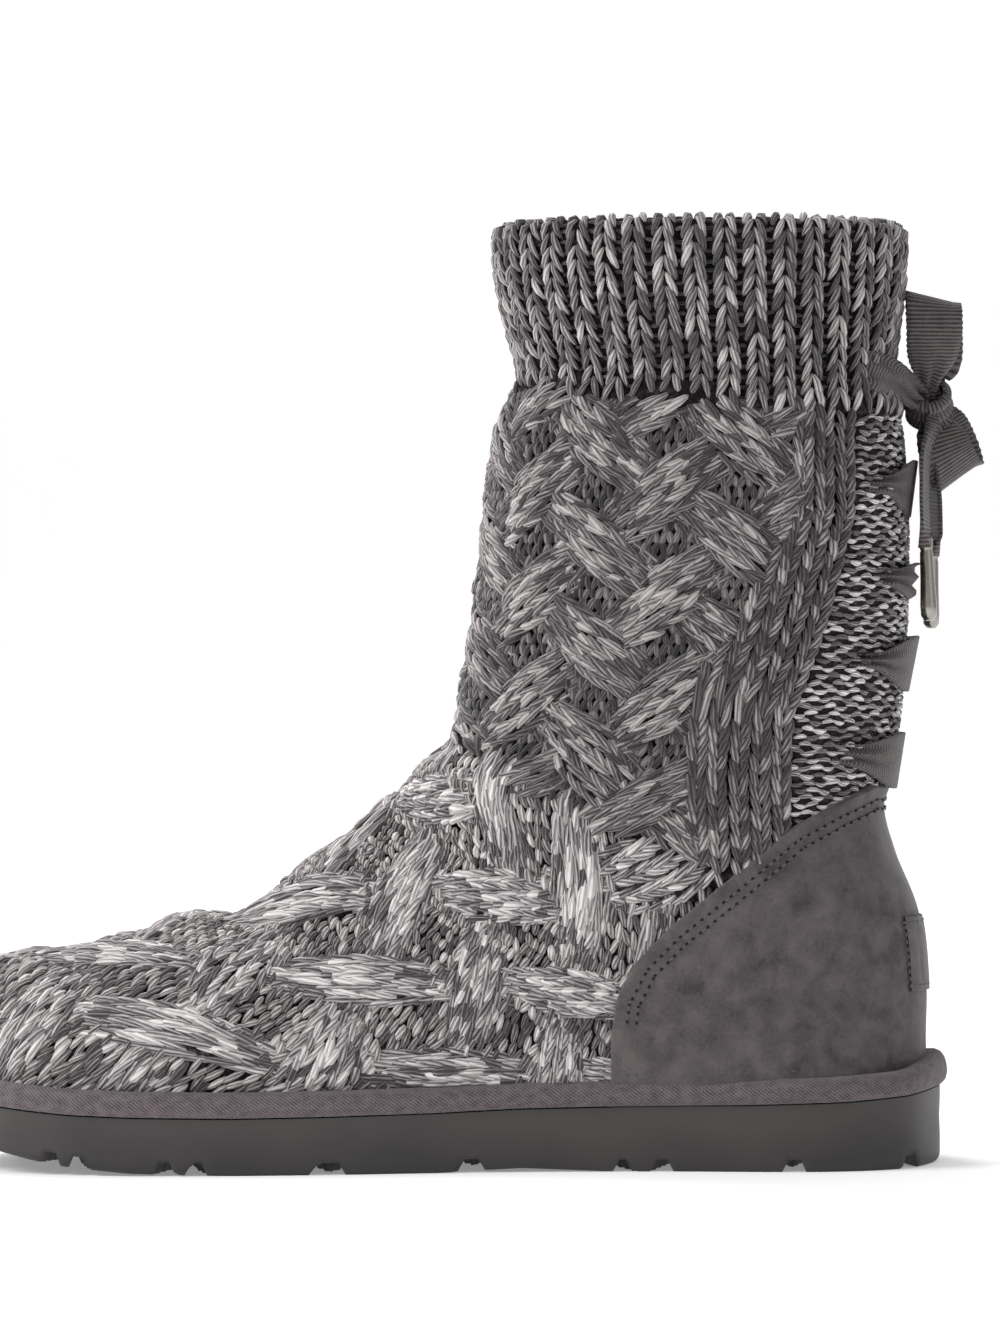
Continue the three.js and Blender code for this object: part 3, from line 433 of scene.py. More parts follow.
# Stitch arms: pointed spindles along short paths, in one mesh. Each takes one cell of the yarn's UV chart.
# The path's points lie at these shares of its length, and the spindle has these sizes between its two tips
arm = {"places": np.array([0, 0.1, 0.35, 0.65, 0.9, 1]), "sizes": (0.62, 1, 1, 0.62), "sides": 6,
       "flat": 0.82, "chart": 6, "shortest": 1.5, "longest": 16}
arch = np.sin(np.pi * arm["places"])  # an arm's rise over its length


def armSteps(long):  # places along arms of given lengths, counted from their middles
    return (arm["places"] - 0.5) * np.asarray(long)[..., None]


def archedHeights(top, dip, scatter, count):  # arms whose ends go down into the knit
    return top - dip * (1 - arch) + rng.normal(0, scatter, count)[:, None]


def middleOf(t, turn, side):  # the surface point under an arm's middle
    return basePoint(t[:, 3], turn[:, 3], side[:, 3])


def middleNormal(normals):
    middle = normals[:, 2] + normals[:, 3]
    return middle / np.maximum(np.linalg.norm(middle, axis=-1, keepdims=True), 1e-9)


def reach(paths):  # straight length of each arm
    return np.linalg.norm(paths[:, 5] - paths[:, 0], axis=-1)


def armMesh(paths, normals, radii, cells):
    # paths (n, 6, 3), normals (n, 3), radii (n,), cells (n,) of the chart
    count, sides = len(paths), arm["sides"]
    ahead = paths[:, 5] - paths[:, 0]
    across = np.cross(ahead, normals)
    across /= np.maximum(np.linalg.norm(across, axis=-1, keepdims=True), 1e-9)
    angle = np.arange(sides) * 2 * np.pi / sides
    rings = []
    for k, size in enumerate(arm["sizes"]):
        wide = (radii * size)[:, None, None]
        rings.append(paths[:, k + 1, None] + across[:, None] * (np.cos(angle)[None, :, None] * wide)
                     + normals[:, None] * (np.sin(angle)[None, :, None] * wide * arm["flat"]))
    points = np.concatenate([paths[:, :1], *rings, paths[:, 5:]], axis=1)
    perArm = points.shape[1]
    end = perArm - 1
    tris, triUv, quads, quadUv = [], [], [], []
    places = arm["places"]
    for j in range(sides):
        k = (j + 1) % sides
        v0, v1 = j / sides, (j + 1) / sides
        tris.append((0, 1 + k, 1 + j))
        triUv.append(((0, (v0 + v1) / 2), (places[1], v1), (places[1], v0)))
        last = 1 + (len(rings) - 1) * sides
        tris.append((end, last + j, last + k))
        triUv.append(((1, (v0 + v1) / 2), (places[4], v0), (places[4], v1)))
        for r in range(len(rings) - 1):
            a, b = 1 + r * sides, 1 + (r + 1) * sides
            quads.append((a + j, a + k, b + k, b + j))
            u0, u1 = places[r + 1], places[r + 2]
            quadUv.append(((u0, v0), (u0, v1), (u1, v1), (u1, v0)))
    starts = np.arange(count)[:, None, None] * perArm
    triRows = (np.array(tris)[None] + starts).reshape(-1, 3)
    quadRows = (np.array(quads)[None] + starts).reshape(-1, 4)
    chart = arm["chart"]
    corner = np.stack([cells % chart, cells // chart], -1)[:, None, None, :]
    uv = np.concatenate([((np.array(part)[None] * 0.9 + 0.05 + corner) / chart).reshape(-1, 2)
                         for part in (triUv, quadUv)])
    return points.reshape(-1, 3), [triRows, quadRows], uv


def shadeCells(light):  # cells of the yarn's chart for arms of a lightness from 0 to 1, with some scatter
    row = np.clip(np.round(light * (arm["chart"] - 1) + rng.normal(0, 1.4, light.shape)), 0, arm["chart"] - 1)
    return row.astype(int) * arm["chart"] + rng.integers(0, arm["chart"], light.shape)


def addArms(name, spots, heights, radii, material, chosen, cells=None):
    # spots: (t, turn, side) of every path point, each (n, 6); heights above the base surface (n, 6)
    normal = baseNormal(*spots)
    paths = basePoint(*spots) + normal * heights[..., None]
    length = reach(paths)
    keep = chosen & (length > arm["shortest"]) & (length < arm["longest"])
    if cells is None:  # of any shade
        cells = rng.integers(0, arm["chart"] ** 2, len(paths))
    points, faces, uv = armMesh(paths[keep], middleNormal(normal)[keep], radii[keep], cells[keep])
    print(name, int(keep.sum()), "stitch arms")
    return addPiece(name, points, faces, material, uv, "OFBake")


# Surface sheets on the base surface, cut along a seam and given a turned edge

def sheetGrid(tRange, turnRange, side, rows, columns):
    t, turn = np.meshgrid(np.linspace(*tRange, rows), np.linspace(*turnRange, columns), indexing="ij")
    return t, turn, np.full(t.shape, float(side))


def facingOut(faces, side):
    return faces[:, ::-1] if side < 0 else faces


def snapToSeam(t, turn, value):  # grid points just past the seam move onto it
    isIn = value > 0
    best = np.full(t.shape, 2.0)
    newT, newTurn = t.copy(), turn.copy()
    for di, dj in ((0, 1), (0, -1), (1, 0), (-1, 0), (1, 1), (1, -1), (-1, 1), (-1, -1)):
        near, nearT, nearTurn = (np.roll(grid, (-di, -dj), (0, 1)) for grid in (value, t, turn))
        touches = ~isIn & (near > 0)
        if di:
            touches[-1 if di > 0 else 0] = False
        if dj:
            touches[:, -1 if dj > 0 else 0] = False
        share = np.where(touches, -value / np.maximum(near - value, 1e-9), 2)
        cost = share + (0.5 if di and dj else 0)  # a straight neighbour goes before a slanted one
        better = touches & (cost < best)
        newT = np.where(better, t + (nearT - t) * share, newT)
        newTurn = np.where(better, turn + (nearTurn - turn) * share, newTurn)
        best = np.where(better, cost, best)
    return newT, newTurn, isIn.ravel(), (best < 2).ravel()


def turnedEdge(points, normals, faces, onEdge, edge):  # bands down and out from the cut edge
    pairs = np.concatenate([faces[:, [0, 1]], faces[:, [1, 2]], faces[:, [2, 3]], faces[:, [3, 0]]])
    keys = pairs.min(1) * len(points) + pairs.max(1)
    _, index, times = np.unique(keys, return_index=True, return_counts=True)
    rim = pairs[index[times == 1]]
    rim = rim[onEdge[rim].all(1)]
    outward = np.cross(points[rim[:, 1]] - points[rim[:, 0]], normals[rim[:, 0]])
    push = np.zeros_like(points)
    np.add.at(push, rim[:, 0], outward)
    np.add.at(push, rim[:, 1], outward)
    used = np.unique(rim)
    push[used] /= np.maximum(np.linalg.norm(push[used], axis=-1, keepdims=True), 1e-9)
    lookup = np.zeros(len(points), int)
    before = np.arange(len(points))
    parts, allFaces, start = [points], [faces], len(points)
    for down, out in edge:
        lookup[used] = np.arange(start, start + len(used))
        parts.append(points[used] - normals[used] * down + push[used] * out)
        allFaces.append(np.stack([before[rim[:, 1]], before[rim[:, 0]], lookup[rim[:, 0]],
                                  lookup[rim[:, 1]]], -1))
        before = lookup.copy()
        start += len(used)
    return np.concatenate(parts), np.concatenate(allFaces)


def cutSheet(tRange, turnRange, side, rows, columns, height, inside, edge):
    # inside(points) is a distance in the side view, positive where cloth is; edge lists (down, out) steps
    t, turn, sides = sheetGrid(tRange, turnRange, side, rows, columns)
    t, turn, isIn, snapped = snapToSeam(t, turn, inside(skin(t, turn, sides, height(t, turn, sides))))
    faces = gridFaces(rows, columns)
    faces = facingOut(faces[(isIn | snapped)[faces].all(1) & isIn[faces].any(1)], side)
    points = skin(t, turn, sides, height(t, turn, sides)).reshape(-1, 3)
    return turnedEdge(points, baseNormal(t, turn, sides).reshape(-1, 3), faces, snapped, edge)


def trimmed(points, faces):  # only the points that faces use
    used, faces = np.unique(faces, return_inverse=True)
    return points[used], faces.reshape(-1, 4)


def bothSides(tRange, turnRange, *settings):
    return trimmed(*joined([cutSheet(tRange, turnRange, side, *settings) for side in (-1, 1)]))


# Camera and studio

# Camera straight at the boot's side: place in millimetres, focal length and frame height in pixels
camera = {"x": 16.2, "distance": 1500, "z": 135.5, "focalPixels": 5460, "imageHeight": 1333}
cameraData = bpy.data.cameras.new("camera")
cameraData.sensor_fit = "VERTICAL"
cameraData.sensor_height = 36
cameraData.lens = camera["focalPixels"] / camera["imageHeight"] * cameraData.sensor_height
cameraData.clip_end = 20
cameraObject = bpy.data.objects.new("camera", cameraData)
cameraObject.location = Vector((camera["x"], -camera["distance"], camera["z"])) * mm
cameraObject.rotation_euler = (math.pi / 2, 0, 0)
bpy.context.scene.collection.objects.link(cameraObject)
bpy.context.scene.camera = cameraObject


def toLinear(colour):  # sRGB hex to linear
    channels = [int(colour[i:i + 2], 16) / 255 for i in (1, 3, 5)]
    return tuple(c / 12.92 if c <= 0.04045 else ((c + 0.055) / 1.055) ** 2.4 for c in channels) + (1.0,)


def addNode(tree, kind, inputs=None, **settings):  # a node with its settings, values and links
    node = tree.nodes.new(kind)
    for key, value in settings.items():
        setattr(node, key, value)
    for socket, value in (inputs or {}).items():
        if isinstance(value, bpy.types.NodeSocket):
            tree.links.new(value, node.inputs[socket])
        else:
            node.inputs[socket].default_value = value
    return node


def newMaterial(name, **values):  # a material with its Principled shader's own values
    material = bpy.data.materials.new(name)
    material.use_nodes = True
    shader = material.node_tree.nodes["Principled BSDF"]
    for key, value in values.items():
        shader.inputs[key.replace("_", " ")].default_value = value
    return material, material.node_tree, shader


def setRamp(node, stops):  # colours or greys of a ramp
    ramp = node.color_ramp
    while len(ramp.elements) < len(stops):
        ramp.elements.new(0.5)
    for element, (place, colour) in zip(ramp.elements, stops):
        element.position = place
        element.color = toLinear(colour) if isinstance(colour, str) else (colour, colour, colour, 1)
    return node


# Studio, in metres: a white paper sweep that glows a little, so that it stays white far from the lamps
studio = {"paper": "#ffffff", "glow": 0.24, "world": 0.5, "near": -3.0, "depth": 2.2, "turn": 0.8,
          "steps": 24, "width": 5.0, "top": 4.0, "aim": (0, 0, 0.12)}
# Square lamps: name, place, size in metres and watts
lamps = [("key", (-1.5, -0.75, 1.2), 0.9, 24.2), ("fill", (1.3, -1.2, 0.7), 1.2, 2),
         ("rim", (-0.5, 0.7, 1.4), 0.8, 17)]


def makeBackdrop():
    material, _, shader = newMaterial("matte paper backdrop", Roughness=1.0)  # plain, no gloss
    shader.inputs["Base Color"].default_value = toLinear(studio["paper"])
    shader.inputs["Emission Color"].default_value = toLinear(studio["paper"])
    shader.inputs["Emission Strength"].default_value = studio["glow"]
    depth, turn, width = studio["depth"], studio["turn"], studio["width"]
    profile = [(studio["near"], 0.0), (depth, 0.0)]
    for i in range(1, studio["steps"] + 1):
        angle = i / studio["steps"] * math.pi / 2
        profile.append((depth + turn * math.sin(angle), turn * (1 - math.cos(angle))))
    profile.append((depth + turn, studio["top"]))
    points = [(x, y, z) for y, z in profile for x in (-width, width)]
    mesh = bpy.data.meshes.new("backdrop")
    mesh.from_pydata(points, [], [(2 * i, 2 * i + 1, 2 * i + 3, 2 * i + 2) for i in range(len(profile) - 1)])
    mesh.materials.append(material)
    for polygon in mesh.polygons:
        polygon.use_smooth = True
    backdrop = bpy.data.objects.new("backdrop", mesh)
    bpy.context.scene.collection.objects.link(backdrop)


def lightStudio():
    world = bpy.data.worlds.new("studio")
    world.use_nodes = True
    background = world.node_tree.nodes["Background"]
    background.inputs["Color"].default_value = toLinear(studio["paper"])
    background.inputs["Strength"].default_value = studio["world"]
    bpy.context.scene.world = world
    for name, place, size, power in lamps:
        light = bpy.data.lights.new(name, "AREA")
        light.size = size
        light.energy = power
        lamp = bpy.data.objects.new(name, light)
        lamp.location = place
        lamp.rotation_euler = (Vector(studio["aim"]) - Vector(place)).to_track_quat("-Z", "Y").to_euler()
        bpy.context.scene.collection.objects.link(lamp)
    bpy.context.scene.view_settings.view_transform = "Standard"


makeBackdrop()
lightStudio()
print("camera and studio ready")


# Materials

# Grains to a metre of the patterns that lie in the boot's own space
grains = {"loops": 380, "strands": 900, "clouds": 150, "nap": 1100, "mottle": 30, "scuffs": 1500,
          "curls": 330, "marks": 700}


def wireSurface(tree, shader, ramp, bump):  # the ramp's colour and the bump's normal into the shader
    tree.links.new(ramp.outputs["Color"], shader.inputs["Base Color"])
    tree.links.new(bump.outputs["Normal"], shader.inputs["Normal"])


# Wool and cotton yarn, light and dark plies twisted: each stitch shows pale streaks beside dark ones. A cell
# of the chart is one arm, so its plies and fibres are counted over an arm's length and girth
marl = {"plies": 6, "twist": 0.14, "plyShare": 0.2, "fibres": (2.5, 26, 1), "fibreShare": 0.66,
        "darkRow": -0.28, "lightRow": 0.34}


def marledYarn(name, light, middle, dark):
    material, tree, shader = newMaterial(name, Roughness=0.92, Sheen_Weight=0.25, Sheen_Roughness=0.6,
                                         Specular_IOR_Level=0.25)
    chart = addNode(tree, "ShaderNodeUVMap", uv_map="OFBake")
    scaled = addNode(tree, "ShaderNodeVectorMath", {0: chart.outputs["UV"], 1: (arm["chart"],) * 3},
                     operation="MULTIPLY")
    cell = addNode(tree, "ShaderNodeVectorMath", {0: scaled.outputs[0]}, operation="FLOOR")
    local = addNode(tree, "ShaderNodeVectorMath", {0: scaled.outputs[0]}, operation="FRACTION")
    chance = addNode(tree, "ShaderNodeTexWhiteNoise", {"Vector": cell.outputs[0]}, noise_dimensions="2D")
    place = addNode(tree, "ShaderNodeSeparateXYZ", {0: local.outputs[0]})
    twist = addNode(tree, "ShaderNodeMath", {0: place.outputs["X"], 1: marl["twist"],
                                             2: chance.outputs["Value"]}, operation="MULTIPLY_ADD")
    phase = addNode(tree, "ShaderNodeMath", {0: place.outputs["Y"], 1: twist.outputs[0]}, operation="ADD")
    turns = addNode(tree, "ShaderNodeMath", {0: phase.outputs[0], 1: 2 * math.pi * marl["plies"]},
                    operation="MULTIPLY")
    plies = addNode(tree, "ShaderNodeMath", {0: turns.outputs[0]}, operation="SINE")
    fibreScale = addNode(tree, "ShaderNodeVectorMath", {0: scaled.outputs[0], 1: marl["fibres"]},
                         operation="MULTIPLY")
    fibres = addNode(tree, "ShaderNodeTexNoise", {"Vector": fibreScale.outputs[0], "Scale": 1.0, "Detail": 2},
                     noise_dimensions="2D")
    parts = addNode(tree, "ShaderNodeSeparateXYZ", {0: cell.outputs[0]})
    # Rows of the chart run from dark to light; the strands' arms take them by how high they sit, as painted
    # light and shade
    spread = addNode(tree, "ShaderNodeMapRange", {"Value": parts.outputs["Y"], "From Max": arm["chart"] - 1,
                                                  "To Min": marl["darkRow"], "To Max": marl["lightRow"]})
    shade = addNode(tree, "ShaderNodeMath", {0: plies.outputs[0], 1: marl["plyShare"], 2: spread.outputs[0]},
                    operation="MULTIPLY_ADD")
    grain = addNode(tree, "ShaderNodeMath", {0: fibres.outputs[0], 1: marl["fibreShare"],
                                             2: shade.outputs[0]}, operation="MULTIPLY_ADD")
    ramp = setRamp(addNode(tree, "ShaderNodeValToRGB", {0: grain.outputs[0]}),
                   [(0.08, dark), (0.36, middle), (0.76, light)])
    bump = addNode(tree, "ShaderNodeBump", {"Height": grain.outputs[0], "Strength": 0.7,
                                            "Distance": 0.6 * mm})
    wireSurface(tree, shader, ramp, bump)
    return material


# The same yarn deep between the stitches: loops in shade, nearly black in the holes
def yarnGround(name, light, dark):
    material, tree, shader = newMaterial(name, Roughness=0.95, Specular_IOR_Level=0.2)
    place = addNode(tree, "ShaderNodeTexCoord")
    loops = addNode(tree, "ShaderNodeTexVoronoi", {"Vector": place.outputs["Object"],
                                                   "Scale": grains["loops"]})
    strands = addNode(tree, "ShaderNodeTexNoise", {"Vector": place.outputs["Object"], "Detail": 3,
                                                   "Scale": grains["strands"]})
    both = addNode(tree, "ShaderNodeMath", {0: loops.outputs["Distance"], 1: -0.6, 2: strands.outputs[0]},
                   operation="MULTIPLY_ADD")
    ramp = setRamp(addNode(tree, "ShaderNodeValToRGB", {0: both.outputs[0]}), [(0.15, dark), (0.62, light)])
    bump = addNode(tree, "ShaderNodeBump", {"Height": both.outputs[0], "Strength": 0.9, "Distance": 0.9 * mm})
    wireSurface(tree, shader, ramp, bump)
    return material


# Suede, buffed split leather: no gloss, a short nap that lies in paler and darker clouds. The nap's fibres
# are finer than the render shows, so they are drawn as coarse as 0.9 mm
def makeSuede(name, light, dark):
    material, tree, shader = newMaterial(name, Roughness=0.95, Sheen_Weight=0.35, Sheen_Roughness=0.45,
                                         Specular_IOR_Level=0.2)
    place = addNode(tree, "ShaderNodeTexCoord")
    clouds = addNode(tree, "ShaderNodeTexNoise", {"Vector": place.outputs["Object"], "Detail": 5,
                                                  "Scale": grains["clouds"], "Distortion": 0.4})
    nap = addNode(tree, "ShaderNodeTexNoise", {"Vector": place.outputs["Object"], "Scale": grains["nap"],
                                               "Detail": 4, "Roughness": 0.7})
    both = addNode(tree, "ShaderNodeMath", {0: nap.outputs[0], 1: 0.55, 2: clouds.outputs[0]},
                   operation="MULTIPLY_ADD")
    ramp = setRamp(addNode(tree, "ShaderNodeValToRGB", {0: both.outputs[0]}), [(0.52, dark), (1.03, light)])
    bump = addNode(tree, "ShaderNodeBump", {"Height": nap.outputs[0], "Strength": 0.35, "Distance": 0.4 * mm})
    wireSurface(tree, shader, ramp, bump)
    return material


# Cloth with raised lines across its pattern: twill tape on the slant, grosgrain straight across. The pitch is
# in millimetres, and soft clouds and threads are grains to a millimetre
cloth = {"clouds": 0.35, "threads": 3.2}


def ribbedCloth(name, light, dark, pitch, slant, roughness, relief, lineShare):
    material, tree, shader = newMaterial(name, Roughness=roughness, Sheen_Weight=0.15,
                                         Specular_IOR_Level=0.35)
    place = addNode(tree, "ShaderNodeUVMap", uv_map="pattern")  # millimetres along and across
    turned = addNode(tree, "ShaderNodeMapping", {"Vector": place.outputs["UV"], "Rotation": (0, 0, slant)})
    parts = addNode(tree, "ShaderNodeSeparateXYZ", {0: turned.outputs[0]})
    cloudy = addNode(tree, "ShaderNodeTexNoise", {"Vector": place.outputs["UV"], "Detail": 3,
                                                  "Scale": cloth["clouds"]}, noise_dimensions="2D")
    angle = addNode(tree, "ShaderNodeMath", {0: parts.outputs["X"], 1: 2 * math.pi / pitch},
                    operation="MULTIPLY")
    lines = addNode(tree, "ShaderNodeMath", {0: angle.outputs[0]}, operation="SINE")
    threads = addNode(tree, "ShaderNodeTexNoise", {"Vector": place.outputs["UV"], "Detail": 2,
                                                   "Scale": cloth["threads"]}, noise_dimensions="2D")
    weight = addNode(tree, "ShaderNodeMath", {0: lines.outputs[0], 1: lineShare, 2: threads.outputs[0]},
                     operation="MULTIPLY_ADD")
    tone = addNode(tree, "ShaderNodeMath", {0: cloudy.outputs[0], 1: 0.5, 2: weight.outputs[0]},
                   operation="MULTIPLY_ADD")
    ramp = setRamp(addNode(tree, "ShaderNodeValToRGB", {0: tone.outputs[0]}), [(0.42, dark), (1.0, light)])
    bump = addNode(tree, "ShaderNodeBump", {"Height": weight.outputs[0], "Strength": relief,
                                            "Distance": 0.3 * mm})
    wireSurface(tree, shader, ramp, bump)
    return material


# Blown EVA and rubber, moulded: a satin skin, a little mottled, with fine scuffs, and painted shade that
# darkens it towards the floor
def foamRubber(name, light, dark):
    material, tree, shader = newMaterial(name, Roughness=0.5, IOR=1.5)
    place = addNode(tree, "ShaderNodeTexCoord")
    clouds = addNode(tree, "ShaderNodeTexNoise", {"Vector": place.outputs["Object"], "Detail": 2,
                                                  "Scale": grains["mottle"]})
    scuffs = addNode(tree, "ShaderNodeTexNoise", {"Vector": place.outputs["Object"], "Detail": 2,
                                                  "Scale": grains["scuffs"]})
    parts = addNode(tree, "ShaderNodeSeparateXYZ", {0: place.outputs["Object"]})
    # Painted shade: the colour darkens towards the floor, over the mottle's clouds
    mottleAndShade = addNode(tree, "ShaderNodeMath", {0: parts.outputs["Z"], 1: 28, 2: clouds.outputs[0]},
                     operation="MULTIPLY_ADD")
    ramp = setRamp(addNode(tree, "ShaderNodeValToRGB", {0: mottleAndShade.outputs[0]}), [(0.5, dark), (0.95, light)])
    gloss = addNode(tree, "ShaderNodeMapRange", {"Value": clouds.outputs[0], "To Min": 0.4, "To Max": 0.62})
    bump = addNode(tree, "ShaderNodeBump", {"Height": scuffs.outputs[0], "Strength": 0.12,
                                            "Distance": 0.2 * mm})
    tree.links.new(gloss.outputs[0], shader.inputs["Roughness"])
    wireSurface(tree, shader, ramp, bump)
    return material


# Wool fleece: pale curls a few millimetres across, soft and quite matte
def makeFleece(name, light, dark):
    material, tree, shader = newMaterial(name, Roughness=1.0, Sheen_Weight=0.5, Sheen_Roughness=0.5,
                                         Specular_IOR_Level=0.15)
    place = addNode(tree, "ShaderNodeTexCoord")
    curls = addNode(tree, "ShaderNodeTexNoise", {"Vector": place.outputs["Object"], "Detail": 4,
                                                 "Scale": grains["curls"], "Distortion": 1.6})
    ramp = setRamp(addNode(tree, "ShaderNodeValToRGB", {0: curls.outputs[0]}), [(0.3, dark), (0.65, light)])
    bump = addNode(tree, "ShaderNodeBump", {"Height": curls.outputs[0], "Strength": 1.0,
                                            "Distance": 1.6 * mm})
    wireSurface(tree, shader, ramp, bump)
    return material


# Nickel-plated brass, rolled and tumbled: bright, with soft drag marks
def nickelBrass(name, colour):
    material, tree, shader = newMaterial(name, Metallic=1.0, Roughness=0.3)
    shader.inputs["Base Color"].default_value = toLinear(colour)
    place = addNode(tree, "ShaderNodeTexCoord")
    marks = addNode(tree, "ShaderNodeTexNoise", {"Vector": place.outputs["Object"], "Detail": 3,
                                                 "Scale": grains["marks"]})
    gloss = addNode(tree, "ShaderNodeMapRange", {"Value": marks.outputs[0], "To Min": 0.14, "To Max": 0.34})
    tree.links.new(gloss.outputs[0], shader.inputs["Roughness"])
    return material


# Copies of one marled yarn: the foot's is paler than the leg's, as painted light on the toe and instep and
# painted shade on the leg
footYarn = marledYarn("marled yarn of the foot", "#e2dedd", "#8e8889", "#383435")
# A darker copy of the foot's yarn for the gaps between its strands: painted shade
shadedFootYarn = marledYarn("marled yarn between the foot's strands", "#d6d2d1", "#807979", "#302c2d")
legYarn = marledYarn("marled yarn of the leg", "#b6b1b0", "#5e5859", "#282425")
# A darker copy of the leg's yarn for the gaps between strands and the cuff's gutters: painted shade
shadedLegYarn = marledYarn("marled yarn between the leg's strands", "#7a7474", "#3f3a3b", "#181516")
cuffYarn = marledYarn("marled yarn of the cuff", "#c6c1c0", "#6c6667", "#322e2f")
panelYarn = marledYarn("fine marled yarn", "#efebeb", "#8a8485", "#4a4546")
footGround = yarnGround("shaded yarn of the foot", "#635d5e", "#242021")
legGround = yarnGround("shaded yarn of the leg", "#3b3637", "#120f10")
panelGround = yarnGround("shaded fine yarn", "#4d4748", "#242021")
suede = makeSuede("suede", "#605a5b", "#3e393a")
twill = ribbedCloth("cotton twill tape", "#766c6f", "#2f292b", 0.9, 0.75, 0.85, 0.7, 0.17)
grosgrain = ribbedCloth("grosgrain ribbon", "#665e5e", "#211d1e", 1.1, 0, 0.55, 1.0, 0.38)
rubber = foamRubber("foam rubber", "#3b3736", "#262323")
fleece = makeFleece("wool fleece", "#cdc8c1", "#8f8a84")
metal = nickelBrass("nickel-plated brass", "#9b9792")
thread = ribbedCloth("polyester thread", "#6a6667", "#2e2c2d", 0.5, 0.6, 0.6, 0.5, 0.2)
holeShade = makeSuede("painted shade in needle holes", "#1c1a1b", "#0f0e0e")  # painted shade: near-black spindles stand for the shade in the needle holes' pits
print("materials ready")


# Ribbon: bow and lacing

# Lengths in millimetres, knotUp a share of the leg's height, pleats raised where the ribbon is gathered
ribbon = {"width": 15.5, "thickness": 0.9, "tooth": 1.7, "toothDepth": 0.45, "clearance": 0.3,
          "pleatDepth": 2.6, "pleatWaves": 7.5, "gathered": 0.35, "dive": 2.6, "slitEnd": 1.14,
          "knot": 6.2, "knotUp": 0.652, "aglet": 20, "agletRadius": 2.3}
# Rows of points across a ribbon, as shares of half its width
bandSpread = np.array([-1, -0.97, -0.75, -0.5, -0.25, 0, 0.25, 0.5, 0.75, 0.97, 1])


knotZ = legZ(ribbon["knotUp"])

# Bars over the back, from the lowest up: shares of the leg's height at the slits and in the middle, slits in
# half turns from the back, shares of the width that aren't gathered at the slits and in the middle, and how
# far the upper edge stands off in millimetres
bars = [
    (-0.051, -0.054, 0.235, 0.4, 1, 2.4), (0.138, 0.134, 0.225, 0.25, 1, 3),
    (0.301, 0.297, 0.18, 0.3, 0.65, 1.6), (0.482, 0.478, 0.2, 0.3, 1, 2), (0.696, 0.645, 0.19, 0.55, 0.6, 0),
]

# Routes of the bow's bands: out behind the leg, to the outer side, up from the knot, the direction of the
# ribbon's width and the share of it that isn't gathered
upperLoop = [
    (6, -4.4, 5.6, 0.9, 0.1, 0.3, 0.5), (6.8, -8, 12, 0.95, 0.1, 0.05, 0.9), (7, -12.5, 20, 1, 0, -0.1, 1),
    (7, -11, 26.5, 1, 0, -0.22, 1), (7.2, -5, 27.5, 1, 0, -0.25, 1), (8, -1.5, 19, 0.97, 0.1, -0.2, 1),
    (8.5, -0.8, 11, 0.9, 0.2, 0, 0.9), (7, -0.5, 6.9, 0.9, 0.3, 0.1, 0.5),
]
lowerLoop = [
    (8, 5.5, -1, 0.75, 0.1, 0.55, 0.45), (11, 9.5, -6, 0.8, 0.1, 0.58, 0.9),
    (14, 14, -12.5, 0.81, 0, 0.59, 1), (15.5, 13.5, -18.5, 0.81, 0, 0.59, 1),
    (15, 8.5, -19.8, 0.81, 0, 0.59, 1), (12, 3.5, -15, 0.81, 0.1, 0.57, 1),
    (9.8, 2.5, -8.5, 0.8, 0.2, 0.5, 0.9), (9, 4, -3.5, 0.75, 0.2, 0.5, 0.45),
]
innerTail = [
    (7.5, -2.5, -5.5, 0.2, 0.98, 0, 0.35), (5.2, -6, -14, 0.2, 0.98, 0, 0.9),
    (4.6, -8, -24, 0.2, 0.98, 0, 1), (4.7, -9, -33, 0.2, 0.98, 0, 1), (5, -9, -40, 0.2, 0.98, 0, 0.3),
]
outerTail = [
    (6.5, 3.5, -6.2, -0.25, 0.97, 0, 0.35), (7, 8.5, -16, -0.25, 0.97, 0, 0.9),
    (8, 10.5, -26, -0.25, 0.97, 0, 1), (8.3, 11, -36, -0.25, 0.97, 0, 1), (8.2, 11, -42, -0.25, 0.97, 0, 0.3),
]


def backSpot(z, share, height):  # point and normal at a share of the half ring from the back's middle
    z, share = np.atleast_1d(np.asarray(z, float)), np.atleast_1d(np.asarray(share, float))
    side = np.where(share < 0, -1.0, 1.0)
    t, _ = halved(np.zeros(z.shape), np.full(z.shape, float(bottomRing)),
                  lambda middle: basePoint(middle, 1.0, 1.0)[..., 2] > z, 20)
    normal = baseNormal(t, 1 - np.abs(share), side)
    return basePoint(t, 1 - np.abs(share), side) + normal * np.asarray(height).reshape(-1, 1), normal


def smoothRows(rows, steps):  # a smooth curve through rows of values, evenly long steps in its first three
    rows = np.asarray(rows, float)
    last = len(rows) - 1
    fine = []
    for i in range(last):
        u = np.linspace(0, 1, 24, endpoint=i == last - 1)[:, None]
        fine.append(between(rows[max(i - 1, 0)], rows[i], rows[i + 1], rows[min(i + 2, last)], u))
    fine = np.concatenate(fine)
    length = np.concatenate([[0], np.cumsum(np.linalg.norm(np.diff(fine[:, :3], axis=0), axis=1))])
    at = np.linspace(0, length[-1], steps)
    return np.stack([np.interp(at, length, column) for column in fine.T], -1), length[-1]


